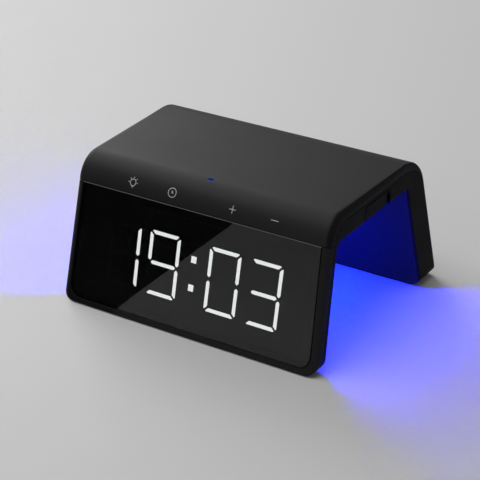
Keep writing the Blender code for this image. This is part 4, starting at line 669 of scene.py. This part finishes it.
paths = add_node(print_tree, "GeometryNodeMeshToCurve", None, {"Mesh": given.outputs["Geometry"]})
levelled = add_node(print_tree, "GeometryNodeSetCurveNormal", {"mode": "Z_UP"},
                    {"Curve": paths.outputs["Curve"]})
stripe = add_node(print_tree, "GeometryNodeCurvePrimitiveQuadrilateral", None,
                  {"Width": given.outputs["Line Width"], "Height": given.outputs["Film"]})
drawn = add_node(print_tree, "GeometryNodeCurveToMesh", None,
                 {"Curve": levelled.outputs["Curve"], "Profile Curve": stripe.outputs["Curve"],
                  "Fill Caps": True})
spot = add_node(print_tree, "ShaderNodeSeparateXYZ", None,
                {"Vector": add_node(print_tree, "GeometryNodeInputPosition").outputs["Position"]})
angle = calculate("ADD", given.outputs["Angle"],
                  calculate("DIVIDE", spot.outputs["Y"], given.outputs["Radius"]))
reach = calculate("ADD", given.outputs["Radius"], spot.outputs["Z"])
wrapped = add_node(print_tree, "ShaderNodeCombineXYZ", None, {
    "X": spot.outputs["X"],
    "Y": calculate("SUBTRACT", given.outputs["Axis Y"],
                   calculate("MULTIPLY", reach, calculate("COSINE", angle))),
    "Z": calculate("ADD", given.outputs["Axis Z"],
                   calculate("MULTIPLY", reach, calculate("SINE", angle)))})
laid = add_node(print_tree, "GeometryNodeSetPosition", None,
                {"Geometry": drawn.outputs["Mesh"], "Position": wrapped.outputs["Vector"]})
end_tree(print_tree, laid.outputs["Geometry"], given, made)

# %% The four symbols, drawn in millimetres
LAMP_X, CLOCK_X, PLUS_X, MINUS_X = -42.5, -17.3, 20.4, 45.7
GLASS = 1.8                                                 # radius of the lamp's glass
NECK_HALF, NECK = 0.3, (-1.6, -2.7)
RAY = (2.4, 3.1)                                            # from and to, from the glass's middle
FACE, FACE_Y = 2.45, 0.2                                    # the clock's radius and middle
HANDS = [(-0.25, 1.2), (-0.25, 0.0), (0.85, 0.0)]
INNER_HAND = [(0.0, 1.2), (0.0, 0.2)]
PLUS_HALF, PLUS_STEP = 1.9, 0.7
MINUS_HALF, MINUS_Y = 2.2, 0.2


def ring(x, y, radius, steps=28):
    """A closed ring of points."""
    turns = [2 * math.pi * step / steps for step in range(steps)]
    return [(x + radius * math.cos(turn), y + radius * math.sin(turn)) for turn in turns]


lines = [(ring(LAMP_X, 0.0, GLASS), True)]                  # each: its points, and if it is closed
for x in (-NECK_HALF, NECK_HALF):
    lines.append(([(LAMP_X + x, y) for y in NECK], False))
for turn in [math.pi * ray / 4 for ray in range(5)]:
    lines.append(([(LAMP_X + r * math.cos(turn), r * math.sin(turn)) for r in RAY], False))
lines.append((ring(CLOCK_X, FACE_Y, FACE), True))
for hand in (HANDS, INNER_HAND):
    lines.append(([(CLOCK_X + x, y) for x, y in hand], False))
lines.append(([(PLUS_X - PLUS_HALF, 0.0), (PLUS_X + PLUS_HALF, 0.0)], False))
lines.append(([(PLUS_X, PLUS_STEP * step) for step in range(-3, 4)], False))
lines.append(([(MINUS_X - MINUS_HALF, MINUS_Y), (MINUS_X + MINUS_HALF, MINUS_Y)], False))

spots, edges = [], []
for path, is_closed in lines:
    first = len(spots)
    spots += [(x * MM, y * MM, 0) for x, y in path]
    edges += [(first + i, first + i + 1) for i in range(len(path) - 1)]
    if is_closed:
        edges.append((len(spots) - 1, first))
drawing = bpy.data.meshes.new("symbol_drawing")
drawing.from_pydata(spots, edges, [])

CURVE_RADIUS = 15.5 * MM
LINE_WIDTH = 0.4 * MM
FILM = 0.03 * MM
FILM_LIFT = 0.02 * MM
UP_THE_CURVE = math.radians(29.5)                           # from level to the symbols' middle
CURVE_AXIS = (-32.43 * MM, 64.8 * MM)

grey_ink = pebbled("pad_printed_grey_ink", "#b4b4b4", 0.3 * MM, 0.002 * MM, 0.5, 0.6)
symbols = grow("key_symbols", drawing, print_tree, {
    "Line Width": LINE_WIDTH, "Film": FILM, "Radius": CURVE_RADIUS + FILM_LIFT,
    "Angle": UP_THE_CURVE, "Axis Y": CURVE_AXIS[0], "Axis Z": CURVE_AXIS[1], "Finish": grey_ink})
print("symbol lines:", len(lines), "faces:", len(symbols.data.polygons))

# %% [markdown]
# The studio is plain: a pale floor and soft light. A large light hangs overhead. Another stands low
# at the left rear, lays a broad sheen on the deck and leaves the right side dark. A small weak one
# lights the front curve's left end. The last looks down on the floor ahead of the clock, because
# that floor is what the window mirrors.

# %% Floor and light
FLOOR_HALF = 3.0
WALL_LEVEL, ROOF_LEVEL = 0.5, 0.12                          # brightness of the studio round about

floor_mesh = bpy.data.meshes.new("studio_floor")
floor_mesh.from_pydata([(x * FLOOR_HALF, y * FLOOR_HALF, 0)
                        for x, y in ((-1, -1), (1, -1), (1, 1), (-1, 1))], [], [(0, 1, 2, 3)])
floor = bpy.data.objects.new("studio_floor", floor_mesh)
bpy.context.scene.collection.objects.link(floor)
floor_mesh.materials.append(pebbled("pale_floor", "#d0d0d0", 20 * MM, 0.001 * MM, 0.6, 0.7,
                                    Specular_IOR_Level=0.1))

world = bpy.data.worlds.new("studio")
bpy.context.scene.world = world
world.use_nodes = True
sky = world.node_tree
direction = add_node(sky, "ShaderNodeSeparateXYZ", None,
                     {"Vector": add_node(sky, "ShaderNodeTexCoord").outputs["Generated"]})
walls = add_node(sky, "ShaderNodeMapRange", {"interpolation_type": "SMOOTHSTEP"},
                 {"Value": direction.outputs["Z"], "From Min": 0.1, "From Max": 0.6,
                  "To Min": WALL_LEVEL, "To Max": ROOF_LEVEL})
sky.nodes["Background"].inputs["Color"].default_value = linear("#f2f2f2")
sky.links.new(walls.outputs["Result"], sky.nodes["Background"].inputs["Strength"])


def softbox(name, place, size, power, aim=(0, 0, 0)):
    """A flat soft light, aimed at the clock or at another spot."""
    data = bpy.data.lights.new(name, "AREA")
    data.shape = "RECTANGLE"
    data.size, data.size_y = size
    data.energy = power
    light = bpy.data.objects.new(name, data)
    turn = (Vector(aim) - Vector(place)).to_track_quat("-Z", "Y")
    light.matrix_world = Matrix.Translation(place) @ turn.to_matrix().to_4x4()
    bpy.context.scene.collection.objects.link(light)


softbox("overhead", (-0.3, -0.5, 2.4), (2.0, 2.0), 23.0)
softbox("key_left", (-1.5, 0.9, 0.95), (1.2, 1.2), 22.6)
softbox("edge_left", (-0.35, -0.12, 0.5), (0.25, 0.25), 0.62)
softbox("floor_ahead", (-0.9, -1.8, 1.2), (0.8, 0.8), 4.8, aim=(-0.9, -1.8, 0))
bpy.context.scene.view_settings.view_transform = "Standard"
print("lights:", [light.name for light in bpy.data.lights])

# %% [markdown]
# One more thing stands in a studio like this: a black card, for a glossy window to mirror. It stands
# out of the picture at the front left, with a foot on the table. Its slanting edge cuts the window's
# mirror image in two, black above and the pale floor below. Only reflections can see it, so it takes
# no light from the clock.

# %% Black card
STANDING = [(-300, -190, 0.5), (-116.5, -190, 0.5), (-32, -190, 90), (-300, -190, 90)]
FOOT = [(-300, -66, 0.5), (-46, -66, 0.5), (-65, -96, 0.5)]

card_mesh = bpy.data.meshes.new("black_card")
card_mesh.from_pydata([Vector(p) * MM for p in STANDING + FOOT], [],
                      [(0, 1, 2, 3), (4, 5, 6, 1, 0)])
card = bpy.data.objects.new("black_card", card_mesh)
bpy.context.scene.collection.objects.link(card)
card_mesh.materials.append(pebbled("black_velvet_card", "#242424", 1 * MM, 0.01 * MM, 0.95, 1.0,
                                   Specular_IOR_Level=0.0))
for ray in ("visible_camera", "visible_diffuse", "visible_transmission", "visible_shadow"):
    setattr(card, ray, False)
print("card's size in mm:", [round(v / MM) for v in card.dimensions])
